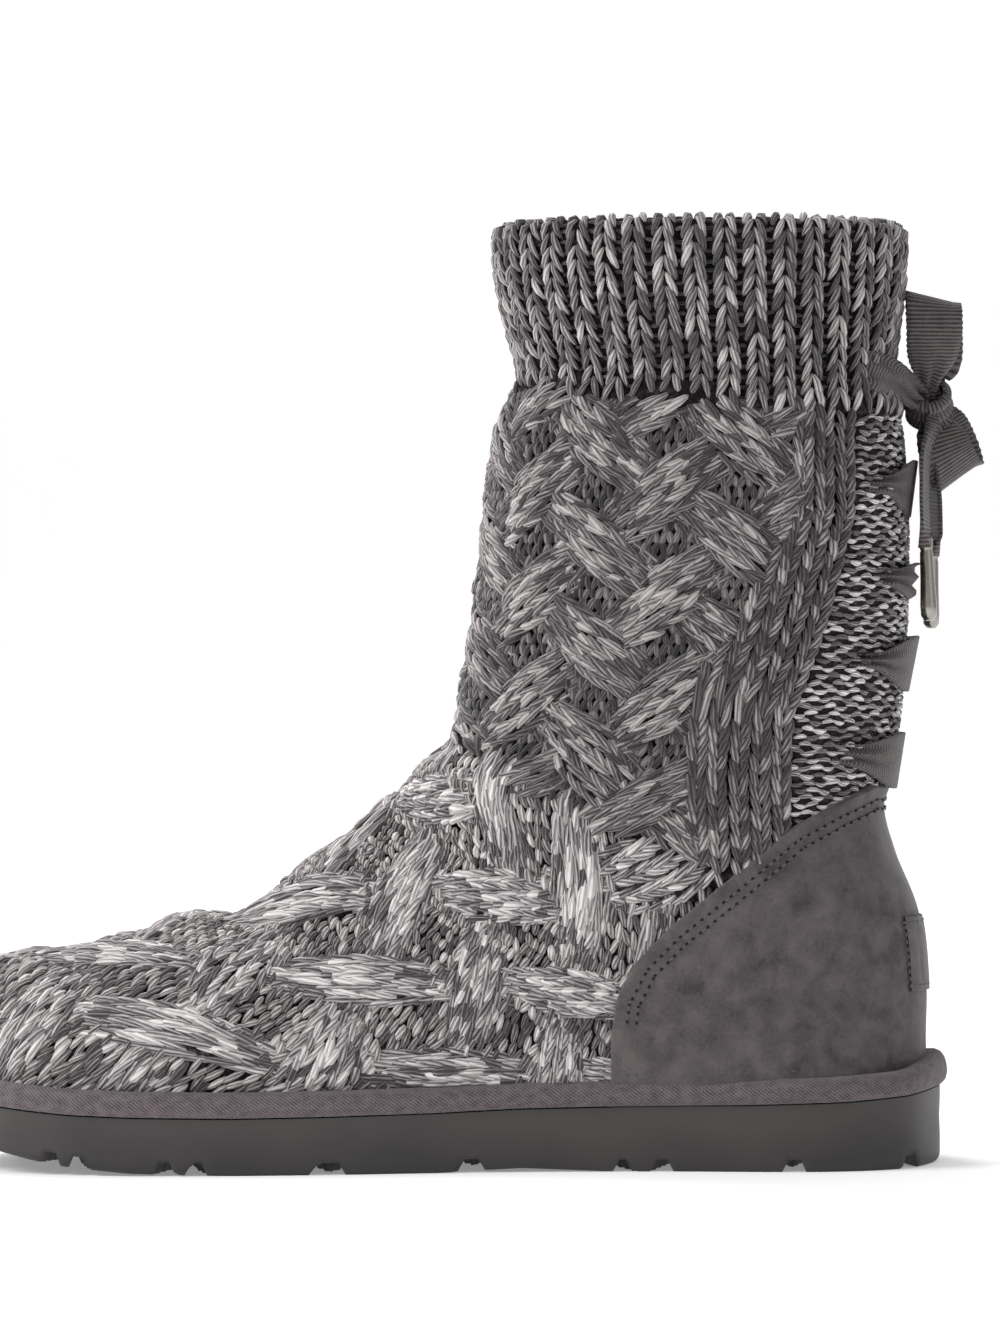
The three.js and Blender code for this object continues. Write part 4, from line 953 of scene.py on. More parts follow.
def ribbonBand(rows):
    # rows of x, y, z, width direction and open share. Returns points, faces, point UVs, path and length
    steps = max(int(smoothRows(rows, 50)[1] / ribbon["tooth"] * 4), 24)
    line, length = smoothRows(rows, steps)
    path, wide, openShare = line[:, :3], line[:, 3:6], np.clip(line[:, 6], 0.2, 1)
    ahead = np.gradient(path, axis=0)
    ahead /= np.linalg.norm(ahead, axis=1, keepdims=True)
    flat = np.cross(ahead, wide)
    flat /= np.maximum(np.linalg.norm(flat, axis=1, keepdims=True), 1e-9)
    across = np.cross(flat, ahead)
    along = np.linspace(0, length, steps)
    tooth = ribbon["toothDepth"] * np.where(np.sin(2 * np.pi * along / ribbon["tooth"]) > 0, 0, 1)
    offsets = bandSpread[None, :] * (ribbon["width"] / 2 * openShare)[:, None]
    offsets[:, 0] += tooth
    offsets[:, -1] -= tooth
    pleat = ribbon["pleatDepth"] * (1 - openShare)
    wave = pleat[:, None] * np.sin(bandSpread * ribbon["pleatWaves"])[None, :]
    half = ribbon["thickness"] / 2 * np.where(np.abs(bandSpread) > 0.99, 0.55, 1)  # thin at the teeth
    spots = path[:, None] + across[:, None] * offsets[..., None]
    top, low = (spots + flat[:, None] * heights[..., None] for heights in (wave + half, wave - half))
    section = np.concatenate([top, low[:, ::-1]], axis=1)
    count = section.shape[1]
    across = np.concatenate([bandSpread, bandSpread[::-1]]) * ribbon["width"] / 2
    uv = np.stack(np.broadcast_arrays(along[:, None], across[None, :]), -1).reshape(-1, 2)
    caps = []
    for base, order in ((0, 1), ((steps - 1) * count, -1)):
        for j in range(len(bandSpread) - 1):
            caps.append([base + j, base + j + 1, base + count - 2 - j, base + count - 1 - j][::order])
    faces = np.concatenate([gridFaces(steps, count, closed=True), np.array(caps)])
    return section.reshape(-1, 3), faces, uv, path, length


def addRibbon(name, band, stands):
    points, faces, uv = band[:3]
    return addPiece(name, points, [faces], grosgrain, cornerUv(uv, [faces]), stands=stands)


cuffFace = boot["cuffKnit"] + boot["ribRise"]  # how far the ribs stand out
knotSeat = float(backSpot(knotZ, 0.0, 0)[0][0, 0]) + cuffFace + ribbon["thickness"] * 2
knotCentre = np.array([knotSeat + ribbon["knot"], 0, knotZ])


def bowRows(table):
    return [(knotSeat + out, aside, knotZ + up, *rest) for out, aside, up, *rest in table]


def addBow():  # each half of the ribbon comes out of its slit, through the knot, its loop and its tail
    lift = cuffFace + ribbon["thickness"]
    slitUp, backUp, slitTurn, slitOpen = bars[-1][:4]
    slitZ, backZ = legZ(slitUp), legZ(backUp)
    for name, side, loop, tail in (("inner", -1, upperLoop, innerTail), ("outer", 1, lowerLoop, outerTail)):
        inside = backSpot(slitZ + 2, side * slitTurn * 1.15, lift - ribbon["dive"])[0][0]
        slit = backSpot(slitZ + 1, side * slitTurn * 0.95, lift)[0][0]
        near = backSpot(backZ + 4, side * slitTurn * 0.5, lift + 1.8)[0][0]
        intoKnot, throughKnot = knotCentre + (-1.5, side * 2.5, 0), knotCentre + (2.2, side * 0.8, 0)
        lead = [(*inside, 0, 0.1, 1, slitOpen), (*slit, -0.2, 0.1, 1, slitOpen + 0.15),
                (*near, 0.5, side * 0.5, 0.7, 0.6), (*intoKnot, 0.3, 0.1, 0.9, 0.35)]
        middle = [(*throughKnot, 0.6, 0.5, 0.2, 0.3)]
        band = ribbonBand(lead + bowRows(loop) + middle + bowRows(tail))
        path, length = band[3:]
        stands = (f"bow_loop_{name}", f"bow_tail_{name}") + (("ribbon_bar_5",) if side < 0 else ())
        ribbonPiece = addRibbon(f"ribbon_{name}", band, stands)
        lean = np.array(bowRows(tail)[-1][:3]) - np.array(bowRows(tail)[-2][:3])
        lean /= np.linalg.norm(lean)
        aglet = addAglet(f"aglet_{name}_metal", path[-1], lean, f"aglet_{name}")


def addKnot():  # the ribbon's turn round the crossed bands, gathered into pleats
    axis = np.array([0.1, 0.75, -0.65])
    axis /= np.linalg.norm(axis)
    first = np.cross(axis, (1, 0, 0))
    first /= np.linalg.norm(first)
    second = np.cross(axis, first)
    radius = ribbon["knot"] - 1.2
    turnRows = []
    steps = 10
    for i in range(steps + 1):
        angle = i / steps * 2 * math.pi
        spot = knotCentre + (first * math.cos(angle) + second * math.sin(angle)) * (radius + 0.08 * i)
        turnRows.append((*spot, *axis, 0.62))
    addRibbon("ribbon_knot", ribbonBand(turnRows), ("bow_knot",))


def addAglet(name, start, lean, node):  # turned on a lathe, its profile along from the ribbon and out
    length, radius = ribbon["aglet"], ribbon["agletRadius"]
    profile = [(-2.5, 0.5), (-2.6, radius * 0.72), (-2.2, radius * 0.8), (0.2, radius * 0.78),
               (0.8, radius * 0.68), (1.4, radius * 0.78), (length * 0.45, radius * 0.86),
               (length * 0.8, radius), (length * 0.93, radius * 0.96), (length - 0.2, radius * 0.6),
               (length, radius * 0.2)]
    first = np.cross(lean, (0, 1, 0))
    first /= np.linalg.norm(first)
    second = np.cross(lean, first)
    sides = 28
    angle = np.arange(sides) * 2 * np.pi / sides
    rings = [start + lean * along + (first * np.cos(angle)[:, None] + second * np.sin(angle)[:, None]) * r
             for along, r in profile]
    points = np.concatenate(rings)
    faces = gridFaces(len(profile), sides, closed=True)
    ends = np.array([list(range(sides))[::-1], [(len(profile) - 1) * sides + j for j in range(sides)]])
    return addPiece(name, points, [faces, ends], metal, stands=(node,))


def addBars():  # each comes out of a slit, opens out over the panel and goes into the slit across from it
    lift = boot["panelKnit"] + ribbon["clearance"] + ribbon["thickness"] / 2
    for i, (slitUp, backUp, slitTurn, slitOpen, backOpen, stand) in enumerate(bars[:-1]):
        slitZ, backZ = legZ(slitUp), legZ(backUp)
        shares = np.linspace(-ribbon["slitEnd"], ribbon["slitEnd"], 21)
        middle = smooth(1, ribbon["gathered"], np.abs(shares))
        height = lift + stand * middle / 2 - ribbon["dive"] * smooth(0.9, ribbon["slitEnd"], np.abs(shares))
        spots, normals = backSpot(slitZ + (backZ - slitZ) * middle, shares * slitTurn, height)
        wide = np.array([0, 0, ribbon["width"]]) + normals * (stand * middle)[:, None]
        wide /= np.linalg.norm(wide, axis=1, keepdims=True)
        openShare = slitOpen + (backOpen - slitOpen) * middle
        band = ribbonBand([(*spots[j], *wide[j], openShare[j]) for j in range(len(shares))])
        addRibbon(f"grosgrain_bar_{i + 1}", band, (f"ribbon_bar_{i + 1}",))


addBow()
addKnot()
addBars()
print("ribbon ready")


# Sole and tape

sole = {"lugDepth": 3.2, "lugGap": 4.5, "grooveIn": 0.7, "grooveOut": 0.35, "fine": 10, "flatRings": 25,
        "flatReach": 112}
# Side wall: inset from the widest line, share of the height there
soleWall = [(1.4, 0), (0.9, 0.015), (0.42, 0.045), (0.12, 0.085), (0, 0.13), (0, 0.35), (0.15, 0.6),
            (0, 0.85), (0, 1)]
soleMiddle = [(-heelX, -8), (0, 1), (heelX, 0)]  # the middle line in plan
# The lower face: place along from the heel, height in thicknesses
soleLows = [(-0.03, 0), (0, 0), (0.33, 0), (0.42, 0.07), (0.5, 0), (0.7, 0), (0.8, 0.04), (0.86, 0.14),
            (0.9, 0.27), (0.95, 0.48), (1, 0.7), (1.03, 0.8)]
# Grooves between lugs: place along from the heel, slant
grooves = [(0.06, 0.25), (0.12, -0.25), (0.185, 0.25), (0.25, -0.25), (0.36, 0.3), (0.43, -0.3), (0.5, 0.25),
           (0.56, -0.25), (0.655, 0.25), (0.72, -0.25), (0.78, 0.25), (0.835, -0.25), (0.885, 0.2),
           (0.935, -0.2)]
# Tape: how it sits and laps, and its section as place out from the upper, share of its height
tape = {"heelLift": 0.4, "clearance": 0.3, "lapAt": -10, "lapSlant": 1.3, "lapRise": 0.45, "lapFade": (8, 30)}
tapeSection = [(-0.3, 0), (6.5, 0), (7.9, 0.02), (8.75, 0.12), (9.15, 0.28), (9.2, 0.42), (8.95, 0.6),
               (8.35, 0.78), (7.4, 0.91), (6.2, 0.985), (4.6, 1.0), (2, 0.97), (-0.3, 0.94)]


def planOutline(rim):  # closed outline of the upper's base in plan, grown by a rim
    steps, step = 24, 0.05
    corner = []
    ts = [bottomRing + (lastRing - bottomRing) * i / steps for i in range(steps + 1)]
    for t, side in [(t, -1.0) for t in ts] + [(t, 1.0) for t in ts[-2:0:-1]]:
        here = basePoint(t, 1.0, side)
        before = basePoint(max(t - step, bottomRing), 1.0, side)
        after = basePoint(min(t + step, lastRing), 1.0, side)
        normal = np.array([after[1] - before[1], before[0] - after[0]]) * side
        if t == bottomRing:
            normal = np.array([1.0, 0])
        if t == lastRing:
            normal = np.array([-1.0, 0])
        corner.append(here[:2] + normal / np.linalg.norm(normal) * rim)
    u = (np.arange(sole["fine"]) / sole["fine"])[None, :, None]
    return between(*(np.roll(corner, shift, 0)[:, None] for shift in (1, 0, -1, -2)), u).reshape(-1, 2)


def treadAt(ring):  # height of the sole's lower face, grooves and all
    x, y = ring.T
    depth = np.zeros(x.shape)
    for along, slant in grooves:
        distance = np.abs((x - heelX + along * boot["soleLength"]) * math.cos(slant) + y * math.sin(slant))
        half = sole["lugGap"] / 2
        gap = 1 - smooth(half - sole["grooveIn"], half + sole["grooveOut"], distance)
        depth = np.maximum(depth, sole["lugDepth"] * gap)
    return soleLevel(x, soleLows) + depth


def addSole():
    wall = []
    for inset, share in soleWall:
        ring = planOutline(boot["soleRim"] - inset)
        low = treadAt(ring)
        wall.append(np.column_stack([ring, low + (soleTopAt(ring[:, 0]) - low) * share]))
    bottom = wall[0][:, :2]
    middle = np.interp(planOutline(boot["soleRim"])[:, 0], *np.transpose(soleMiddle))
    centre = np.column_stack([np.clip(bottom[:, 0], -sole["flatReach"], sole["flatReach"]), middle])
    flat = []
    for share in np.linspace(1, 0, sole["flatRings"] + 1)[:-1]:
        ring = bottom + (centre - bottom) * share
        flat.append(np.column_stack([ring, treadAt(ring)]))
    grid = np.array(flat + wall)
    addPiece("rubber_sole", grid, [gridFaces(len(grid), grid.shape[1], closed=True)], rubber,
             stands=("outsole",))


def addTape():
    rows = []
    for out, up in tapeSection:
        ring = planOutline(out)
        x, y = ring.T
        lift = 1 + tape["heelLift"] * smooth(0.05, 0, (heelX - x) / boot["soleLength"])
        z = soleTopAt(x) + tape["clearance"] + up * boot["tapeHeight"] * lift
        if out > 5:  # the end of the tape laps over its start on a slant
            past = x - tape["lapAt"] - (up - 0.5) * boot["tapeHeight"] * tape["lapSlant"]
            lap = tape["lapRise"] * smooth(-0.3, 0.3, past) * (1 - smooth(*tape["lapFade"], past))
            ring = np.column_stack([x, y - lap * (y < 0)])
        rows.append(np.column_stack([ring, z]))
    grid = np.array(rows)
    closing = np.concatenate([grid, grid[:, :1]], axis=1)
    along = np.concatenate([[0], np.cumsum(np.linalg.norm(np.diff(closing[5], axis=0), axis=1))])
    over = np.concatenate([[0], np.cumsum(np.linalg.norm(np.diff(closing[:, 0], axis=0), axis=1))])
    uv = np.stack(np.broadcast_arrays(along[None, :], over[:, None]), -1).reshape(-1, 2)
    faces = gridFaces(closing.shape[0], closing.shape[1])
    addPiece("twill_tape", closing, [faces], twill, cornerUv(uv, [faces]), stands=("edge_tape",))


addSole()
addTape()
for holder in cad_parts["insole"].material_slots:
    holder.link = "OBJECT"
    holder.material = fleece
print("sole ready")


# Knitted grounds, under the stitch arms

ground = {"sunk": 1.5, "dive": 3.0, "keep": 2.5, "panelSunk": 0.7, "underCuff": 6}
# Plain stitches beside the back panel: their band is wide below and narrow from a height up
column = {"pitch": 5.7, "row": 3.6, "long": 6.8, "count": 5, "radius": 1.3, "wide": 24, "narrow": 12.5,
          "narrows": (125, 190)}


def dived(height, inside, depth=ground["dive"], start=0.2, end=-1.4):  # under its neighbour past a seam
    return height - depth * smooth(start, end, inside)


def addGround(name, tRange, rows, columns, heightOf, insideOf, material, stands):
    parts = []
    for side in (-1, 1):
        place = sheetGrid(tRange, (0, 1), side, rows, columns)
        inside = insideOf(basePoint(*place))
        points = skin(*place, dived(heightOf(*place), inside))
        faces = gridFaces(rows, columns)
        faces = faces[(inside.ravel() > -ground["keep"])[faces].any(1)]
        parts.append((points, facingOut(faces, side)))
    points, faces = trimmed(*joined(parts))
    return addPiece(name, points, [faces], material, stands=stands)


def footHeight(t, turn, side):
    return boot["footKnit"] + boot["strandRise"] * weaveLift(t, turn, side) - ground["sunk"]


def columnReach(z):  # width of the plain columns' band
    return column["wide"] - (column["wide"] - column["narrow"]) * smooth(*column["narrows"], z)


def plaitFade(points):  # the plait lies down before the plain columns
    return smooth(-1, 6, beforePanel(points) - columnReach(points[..., 2]))


def legHeightAt(t, turn, side):
    fade = plaitFade(basePoint(t, turn, side))
    return boot["legKnit"] + boot["strandRise"] * plaitLift(t, turn, side) * fade - ground["sunk"]


def panelHeightAt(t, turn, side):
    return np.full(t.shape, boot["panelKnit"] - ground["panelSunk"])


def onFoot(points):
    return -beyondAnkle(points)


def belowCuff(points):  # the knit goes on a little under the cuff
    return ground["underCuff"] - aboveCuffEdge(points)


def onLeg(points):
    return np.minimum(np.minimum(beyondAnkle(points), beforePanel(points)), belowCuff(points))


def onPanel(points):
    return np.minimum(np.minimum(beyondAnkle(points) + 2, -beforePanel(points)), belowCuff(points))


addGround("foot_ground", (8, lastRing), 190, 84, footHeight, onFoot, footGround, ("knit_foot",))
addGround("leg_ground", (2, 17), 110, 100, legHeightAt, onLeg, legGround, ("knit_leg",))
addGround("panel_ground", (2, 15), 90, 60, panelHeightAt, onPanel, panelGround, ("back_panel",))
print("grounds ready")


# Cuff: u is the distance over the knit from the top of the rolled rim, positive down the outside

cuff = {"roll": 2.6, "inside": 14, "outside": 58, "sunk": 0.75, "dive": 2.6, "firstRow": -9, "lastRow": 60,
        "row": 3.9, "armLong": 6.9, "armRadius": 1.05, "armsApart": 0.2, "armLean": 2.7,
        "firstPurl": -6, "purlRow": 2.8, "purlLong": 2.6, "purlRadius": 0.55, "purlSunk": 0.5}
topZ = basePoint(tLine, 0.0, 1.0)[:, 2]


def ringForZ(z):
    return np.interp(-z, -topZ, tLine)


cuffGirth = wholeGirthAt(ringForZ(bootTop - 30))  # of half the leg, at the cuff's middle


def cuffPlace(u, share):  # share of the half ring, positive on the inner side
    arc = cuff["roll"] * math.pi / 2
    angle = np.clip((arc - u) / cuff["roll"], 0, math.pi)
    past = np.maximum(np.abs(u) - arc, 0)
    z = bootTop - cuff["roll"] + cuff["roll"] * np.sin(angle) - past
    t = ringForZ(z)
    turn = turnFor(t, np.abs(share) * wholeGirthAt(t))
    outer = boot["cuffKnit"] + boot["ribRise"] * cuffLift(t, turn)
    radius = (outer + boot["liningWall"]) / 2
    height = (outer - boot["liningWall"]) / 2 + radius * np.cos(angle)
    return t, turn, sideOf(share), height, z, angle


def cuffPoint(u, share, lift=0.0):
    t, turn, side, height, z, angle = cuffPlace(u, share)
    normal = baseNormal(t, turn, side)
    up = np.zeros(normal.shape)
    up[..., 2] = 1
    outward = normal * np.cos(angle)[..., None] + up * np.sin(angle)[..., None]
    base = basePoint(t, turn, side)
    base[..., 2] = z
    return base + normal * height[..., None] + outward * np.asarray(lift)[..., None], outward


def onCuff(points, u, margin):  # above the cuff's lower edge, or over the rim, where the side view can't tell
    return (aboveCuffEdge(points) > margin) | (u < 10)


def addCuffGround():
    u = np.linspace(-cuff["inside"], cuff["outside"], 70)[:, None]
    share = np.linspace(-1, 1, boot["ribCount"] * 10 + 1)[None, :-1]
    u, share = np.broadcast_arrays(u, share)
    inside = np.where(u > 10, aboveCuffEdge(cuffPoint(u, share)[0]), 9)
    lift = dived(-cuff["sunk"], inside, cuff["dive"], 0.3, -1.2)
    faces = gridFaces(*u.shape, closed=True)
    faces = faces[(inside.ravel() > -2)[faces].any(1)]
    points, faces = trimmed(cuffPoint(u, share, lift)[0].reshape(-1, 3), faces)
    addPiece("cuff_ground", points, [faces], legGround, stands=("rib_cuff",))


def addCuffArms():
    ribs = np.arange(-boot["ribCount"] // 2 + 1, boot["ribCount"] // 2 + 1)
    rows = np.arange(cuff["firstRow"], cuff["lastRow"], cuff["row"])
    rib, row, hand = (g.ravel() for g in np.meshgrid(ribs, rows, (-1, 1), indexing="ij"))
    count = len(rib)
    row = row + (rib * 7919 % 13) / 13 * cuff["row"] * 0.4 + rng.normal(0, 0.3, count)  # no rib in step
    places = arm["places"]
    aside = hand[:, None] * (cuff["armsApart"] + cuff["armLean"] * places ** 0.9)
    aside = aside + rng.normal(0, 0.16, count)[:, None]
    share = (rib[:, None] / (boot["ribCount"] / 2) + aside / cuffGirth + 1) % 2 - 1
    u = row[:, None] + (places - 0.4) * cuff["armLong"] * rng.uniform(0.92, 1.12, count)[:, None]
    lift = -0.7 + 1.1 * np.sin(np.pi * np.clip(places, 0.03, 0.97)) ** 0.8
    paths, outward = cuffPoint(u, share, lift + rng.normal(0, 0.1, count)[:, None])
    normal = middleNormal(outward)
    keep = onCuff(paths[:, 3], u[:, 3], 0.5) & (reach(paths) < 12)
    radii = cuff["armRadius"] * rng.uniform(0.8, 1.15, count)
    cells = shadeCells(np.full(count, 0.45))
    points, faces, uv = armMesh(paths[keep], normal[keep], radii[keep], cells[keep])
    print("cuff arms", int(keep.sum()))
    addPiece("cuff_stitches", points, faces, cuffYarn, uv, "OFBake")


def addCuffPurls():  # short bars across the gutters between the ribs, in the leg's darker yarn copy and darker chart rows: painted shade
    gutters = np.arange(-boot["ribCount"] // 2, boot["ribCount"] // 2) + 0.5
    rows = np.arange(cuff["firstPurl"], cuff["lastRow"], cuff["purlRow"])
    gutter, row = (g.ravel() for g in np.meshgrid(gutters, rows, indexing="ij"))
    count = len(row)
    step = armSteps(cuff["purlLong"] * rng.uniform(0.8, 1.1, count))
    share = (gutter[:, None] / (boot["ribCount"] / 2) + step / cuffGirth + 1) % 2 - 1
    u = (row + rng.normal(0, 0.25, count))[:, None] + step * rng.normal(0, 0.25, count)[:, None]
    lift = rng.normal(-cuff["purlSunk"], 0.15, count)[:, None] + np.zeros(u.shape)
    paths, outward = cuffPoint(u, share, lift)
    keep = onCuff(paths[:, 3], u[:, 3], 1) & (reach(paths) < 6)
    kept = int(keep.sum())
    points, faces, uv = armMesh(paths[keep], middleNormal(outward)[keep], np.full(kept, cuff["purlRadius"]),
                                shadeCells(np.full(kept, 0.3)))
    addPiece("cuff_purls", points, faces, shadedLegYarn, uv, "OFBake")


addCuffGround()
addCuffArms()
addCuffPurls()
print("cuff ready")


# Strands of plait and weave: wales of paired stitch arms laid along each strand

# Four wales along a strand, their rows and arms, and the plain stitches in the gaps between strands
legStitch = {"wales": (-5.6, -1.9, 1.9, 5.6), "row": 3.9, "long": 9.2, "radius": 1.12, "dip": 1.2,
             "round": 1.7, "gapRow": 3.0, "gapWale": 3.5, "gapLong": 5.2, "gapRadius": 0.95}
footStitch = {"wales": (-5.9, -2, 2, 5.9), "row": 4.6, "long": 11.4, "radius": 1.16, "dip": 1.3,
              "round": 1.6, "gapRow": 2.3, "gapWale": 4.3, "gapLong": 6.8, "gapRadius": 1.05}
# What both share: how the arms spread, how far they go on beneath a crossing strand, how deep they sit, how
# much paler they are on top and darker low on the strand (painted light and shade), and where they stop
# before the middle of the back
strand = {"apart": 0.35, "open": 1.6, "under": 0.45, "lowest": 0.12, "wider": 2.4, "drawnIn": 0.14,
          "seat": 0.75, "dark": 0.25, "paintedCrownLight": 0.42, "farBack": 0.985}


def strandArms(look, halfA, halfB, width, aRange, bRange, spotOf):
    # arms along the strands of both families; returns their own strands' heights and the path spots
    unit = math.hypot(halfA, halfB)
    out = []
    for family in (1, -1):
        strands = np.arange(math.floor((aRange[0] + min(family * b for b in bRange)) / 2),
                            math.ceil((aRange[1] + max(family * b for b in bRange)) / 2) + 1)
        rows = np.arange(aRange[0], aRange[1], look["row"] / unit)
        number, a, wale, hand = (g.ravel() for g in np.meshgrid(strands, rows, look["wales"], (-1, 1),
                                                                indexing="ij"))
        b = family * (2 * number - a)
        inRange = (b > bRange[0] - 0.3) & (b < bRange[1] + 0.3)
        a, wale, hand, b = (g[inRange] for g in (a, wale, hand, b))
        count = len(a)
        shift = (rng.normal(0, 0.45, count) + np.where(hand > 0, 0.9, -0.9)) / unit
        a, b = a + shift, b - family * shift
        step = armSteps(look["long"] * rng.uniform(0.85, 1.15, count))
        w = (wale + rng.normal(0, 0.25, count))[:, None]
        w = w + hand[:, None] * (strand["apart"] + strand["open"] * arm["places"])
        full = family * np.cos(np.pi * (a[:, None] + step / unit))  # 1 on top, -1 where another crosses over
        w *= 1 - strand["drawnIn"] * (1 - full)
        pathA = a[:, None] + step / unit + w * halfB / (halfA * unit)
        pathB = b[:, None] - family * step / unit + family * w * halfA / (halfB * unit)
        own, other = strandHeights(pathA, pathB, halfA, halfB, width + strand["wider"])[::family]
        seen = (own[:, 3] > other[:, 3] - strand["under"]) & (own[:, 3] > strand["lowest"])
        out.append([pathA[seen], pathB[seen], own[seen]])
    pathA, pathB, own = (np.concatenate(parts) for parts in zip(*out))
    return own, spotOf(pathA, pathB)


def layArms(name, look, knit, own, spots, chosen, material, fade):
    count = len(own)
    rise = boot["strandRise"] * own ** look["round"] * fade
    heights = knit + rise - look["radius"] * strand["seat"] - look["dip"] * (1 - arch ** 0.7)
    heights = heights + np.clip(rng.normal(0, 0.28, count), -0.6, 0.5)[:, None]
    radii = look["radius"] * rng.uniform(0.75, 1.15, count)
    # Painted light and shade: arms take paler chart rows the higher they sit on their strand's crown, darker
    # ones at its edges and under a crossing strand
    cells = shadeCells(strand["dark"] + strand["paintedCrownLight"] * own[:, 3] ** look["round"])
    for part, mark in (("inner", -1), ("outer", 1)):
        addArms(f"{name}_{part}", spots, heights, radii, material, chosen & (spots[2][:, 3] == mark), cells)


def clearOfBack(spots):  # arms that are neither far under the counter nor past the middle of the back or sole
    return (insideCounter(middleOf(*spots)) < 2) & (spots[1][:, 3] < strand["farBack"])


def addFootArms():
    own, spots = strandArms(footStitch, weave["along"], weave["across"], weave["width"], (-9.5, 4.5),
                            (-10, 4.5), weaveSpot)
    t, middle = spots[0][:, 3], middleOf(*spots)
    chosen = (onFoot(middle) > 0.5) & clearOfBack(spots) & (t > 8) & (t < lastRing - 0.6)
    chosen &= middle[:, 2] > soleTopAt(middle[:, 0]) + 2.5
    layArms("foot_strands", footStitch, boot["footKnit"], own, spots, chosen, footYarn, weaveFade(*spots))


def addLegArms():
    own, spots = strandArms(legStitch, plait["column"], plait["period"] / 2, plait["width"], (-10.5, 6.5),
                            (-10, 1), plaitSpot)
    t, middle = spots[0][:, 3], middleOf(*spots)
    chosen = (beyondAnkle(middle) > 0.3) & (beforePanel(middle) > columnReach(middle[:, 2]) - 0.5)
    chosen &= (aboveCuffEdge(middle) < 0.5) & clearOfBack(spots) & (t > 2)
    fade = plaitFade(basePoint(*spots))
    layArms("leg_strands", legStitch, boot["legKnit"], own, spots, chosen, legYarn, fade)


addFootArms()
addLegArms()
print("strands ready")


# Plain stitches of the gaps between strands, of the columns beside the panel and of the panel

def lattice(first, second, stepFirst, stepSecond):
    i, j = np.meshgrid(np.arange(*first, stepFirst), np.arange(*second, stepSecond), indexing="ij")
    brick = (np.arange(i.shape[0]) % 2)[:, None] * stepSecond / 2
    return i.ravel(), (j + brick).ravel()


def addFootGaps():
    look = footStitch
    down, around = lattice((140, alongLine[-1]), (-110, 110), look["gapWale"], look["gapRow"])
    count = len(down)
    step = armSteps(look["gapLong"] * rng.uniform(0.8, 1.15, count))
    lean = np.radians(28 + rng.normal(0, 9, count))[:, None]
    pathDown = down[:, None] - step * np.cos(lean) + rng.normal(0, 0.3, count)[:, None]
    pathAround = around[:, None] + sideOf(around)[:, None] * step * np.sin(lean)
    t = np.interp(pathDown, alongLine, quarterRings)
    spots = (t, turnFor(t, np.abs(pathAround)), np.repeat(sideOf(around)[:, None], t.shape[1], 1))
    cover = weaveCover(pathDown, pathAround, 1)
    middle = middleOf(*spots)
    low = middle[:, 2] - soleTopAt(middle[:, 0])
    chosen = ((cover[:, 3] < 0.5) | (low < 9)) & (low > 2.5)
    chosen &= (onFoot(middle) > 0.3) & clearOfBack(spots) & (t[:, 3] < lastRing - 0.5)
    heights = archedHeights(boot["footKnit"] + 0.35, 0.8, 0.2, count)
    radii = look["gapRadius"] * rng.uniform(0.8, 1.1, count)
    # The gap stitches take the darker copy of the yarn: painted shade between the strands
    addArms("foot_plain", spots, heights, radii, shadedFootYarn, chosen, shadeCells(np.full(count, 0.45)))


def addLegGaps():
    look = legStitch
    z, around = lattice((95, 212), (-150, 150), look["gapRow"], look["gapWale"])
    z, around = np.repeat(z, 2), np.repeat(around, 2)
    hand = np.tile([-1.0, 1.0], len(z) // 2)
    count = len(z)
    step = armSteps(look["gapLong"] * rng.uniform(0.85, 1.1, count))
    pathZ = z[:, None] + step * 0.94
    pathAround = around[:, None] + hand[:, None] * (0.9 + 0.32 * step) + rng.normal(0, 0.15, count)[:, None]
    spots = legSpot(pathZ, pathAround)
    cover = plaitCover(pathZ, pathAround, 1)
    middle = middleOf(*spots)
    chosen = (cover[:, 3] * plaitFade(middle) < 0.5) & (beforePanel(middle) > columnReach(middle[:, 2]) - 2)
    chosen &= (beyondAnkle(middle) > 0.3) & (aboveCuffEdge(middle) < 0.5)
    chosen &= spots[1][:, 3] < strand["farBack"]
    heights = archedHeights(boot["legKnit"] - 0.4, 0.7, 0.15, count)
    radii = look["gapRadius"] * rng.uniform(0.85, 1.1, count)
    # The gap stitches take the darker copy of the yarn: painted shade between the strands
    addArms("leg_plain", spots, heights, radii, shadedLegYarn, chosen)


def seamLength(line):  # length of a seam up to each of its points
    return np.concatenate([[0], np.cumsum(np.hypot(*np.diff(line, axis=0).T))])


def alongSeam(line, distance, along):  # points at a distance to the left of a seam, by its length
    length = seamLength(line)
    x, z = np.interp(along, length, line[:, 0]), np.interp(along, length, line[:, 1])
    ahead = 1.0
    dx = np.interp(along + ahead, length, line[:, 0]) - np.interp(along - ahead, length, line[:, 0])
    dz = np.interp(along + ahead, length, line[:, 1]) - np.interp(along - ahead, length, line[:, 1])
    size = np.maximum(np.hypot(dx, dz), 1e-9)
    return x - dz / size * distance, z + dx / size * distance


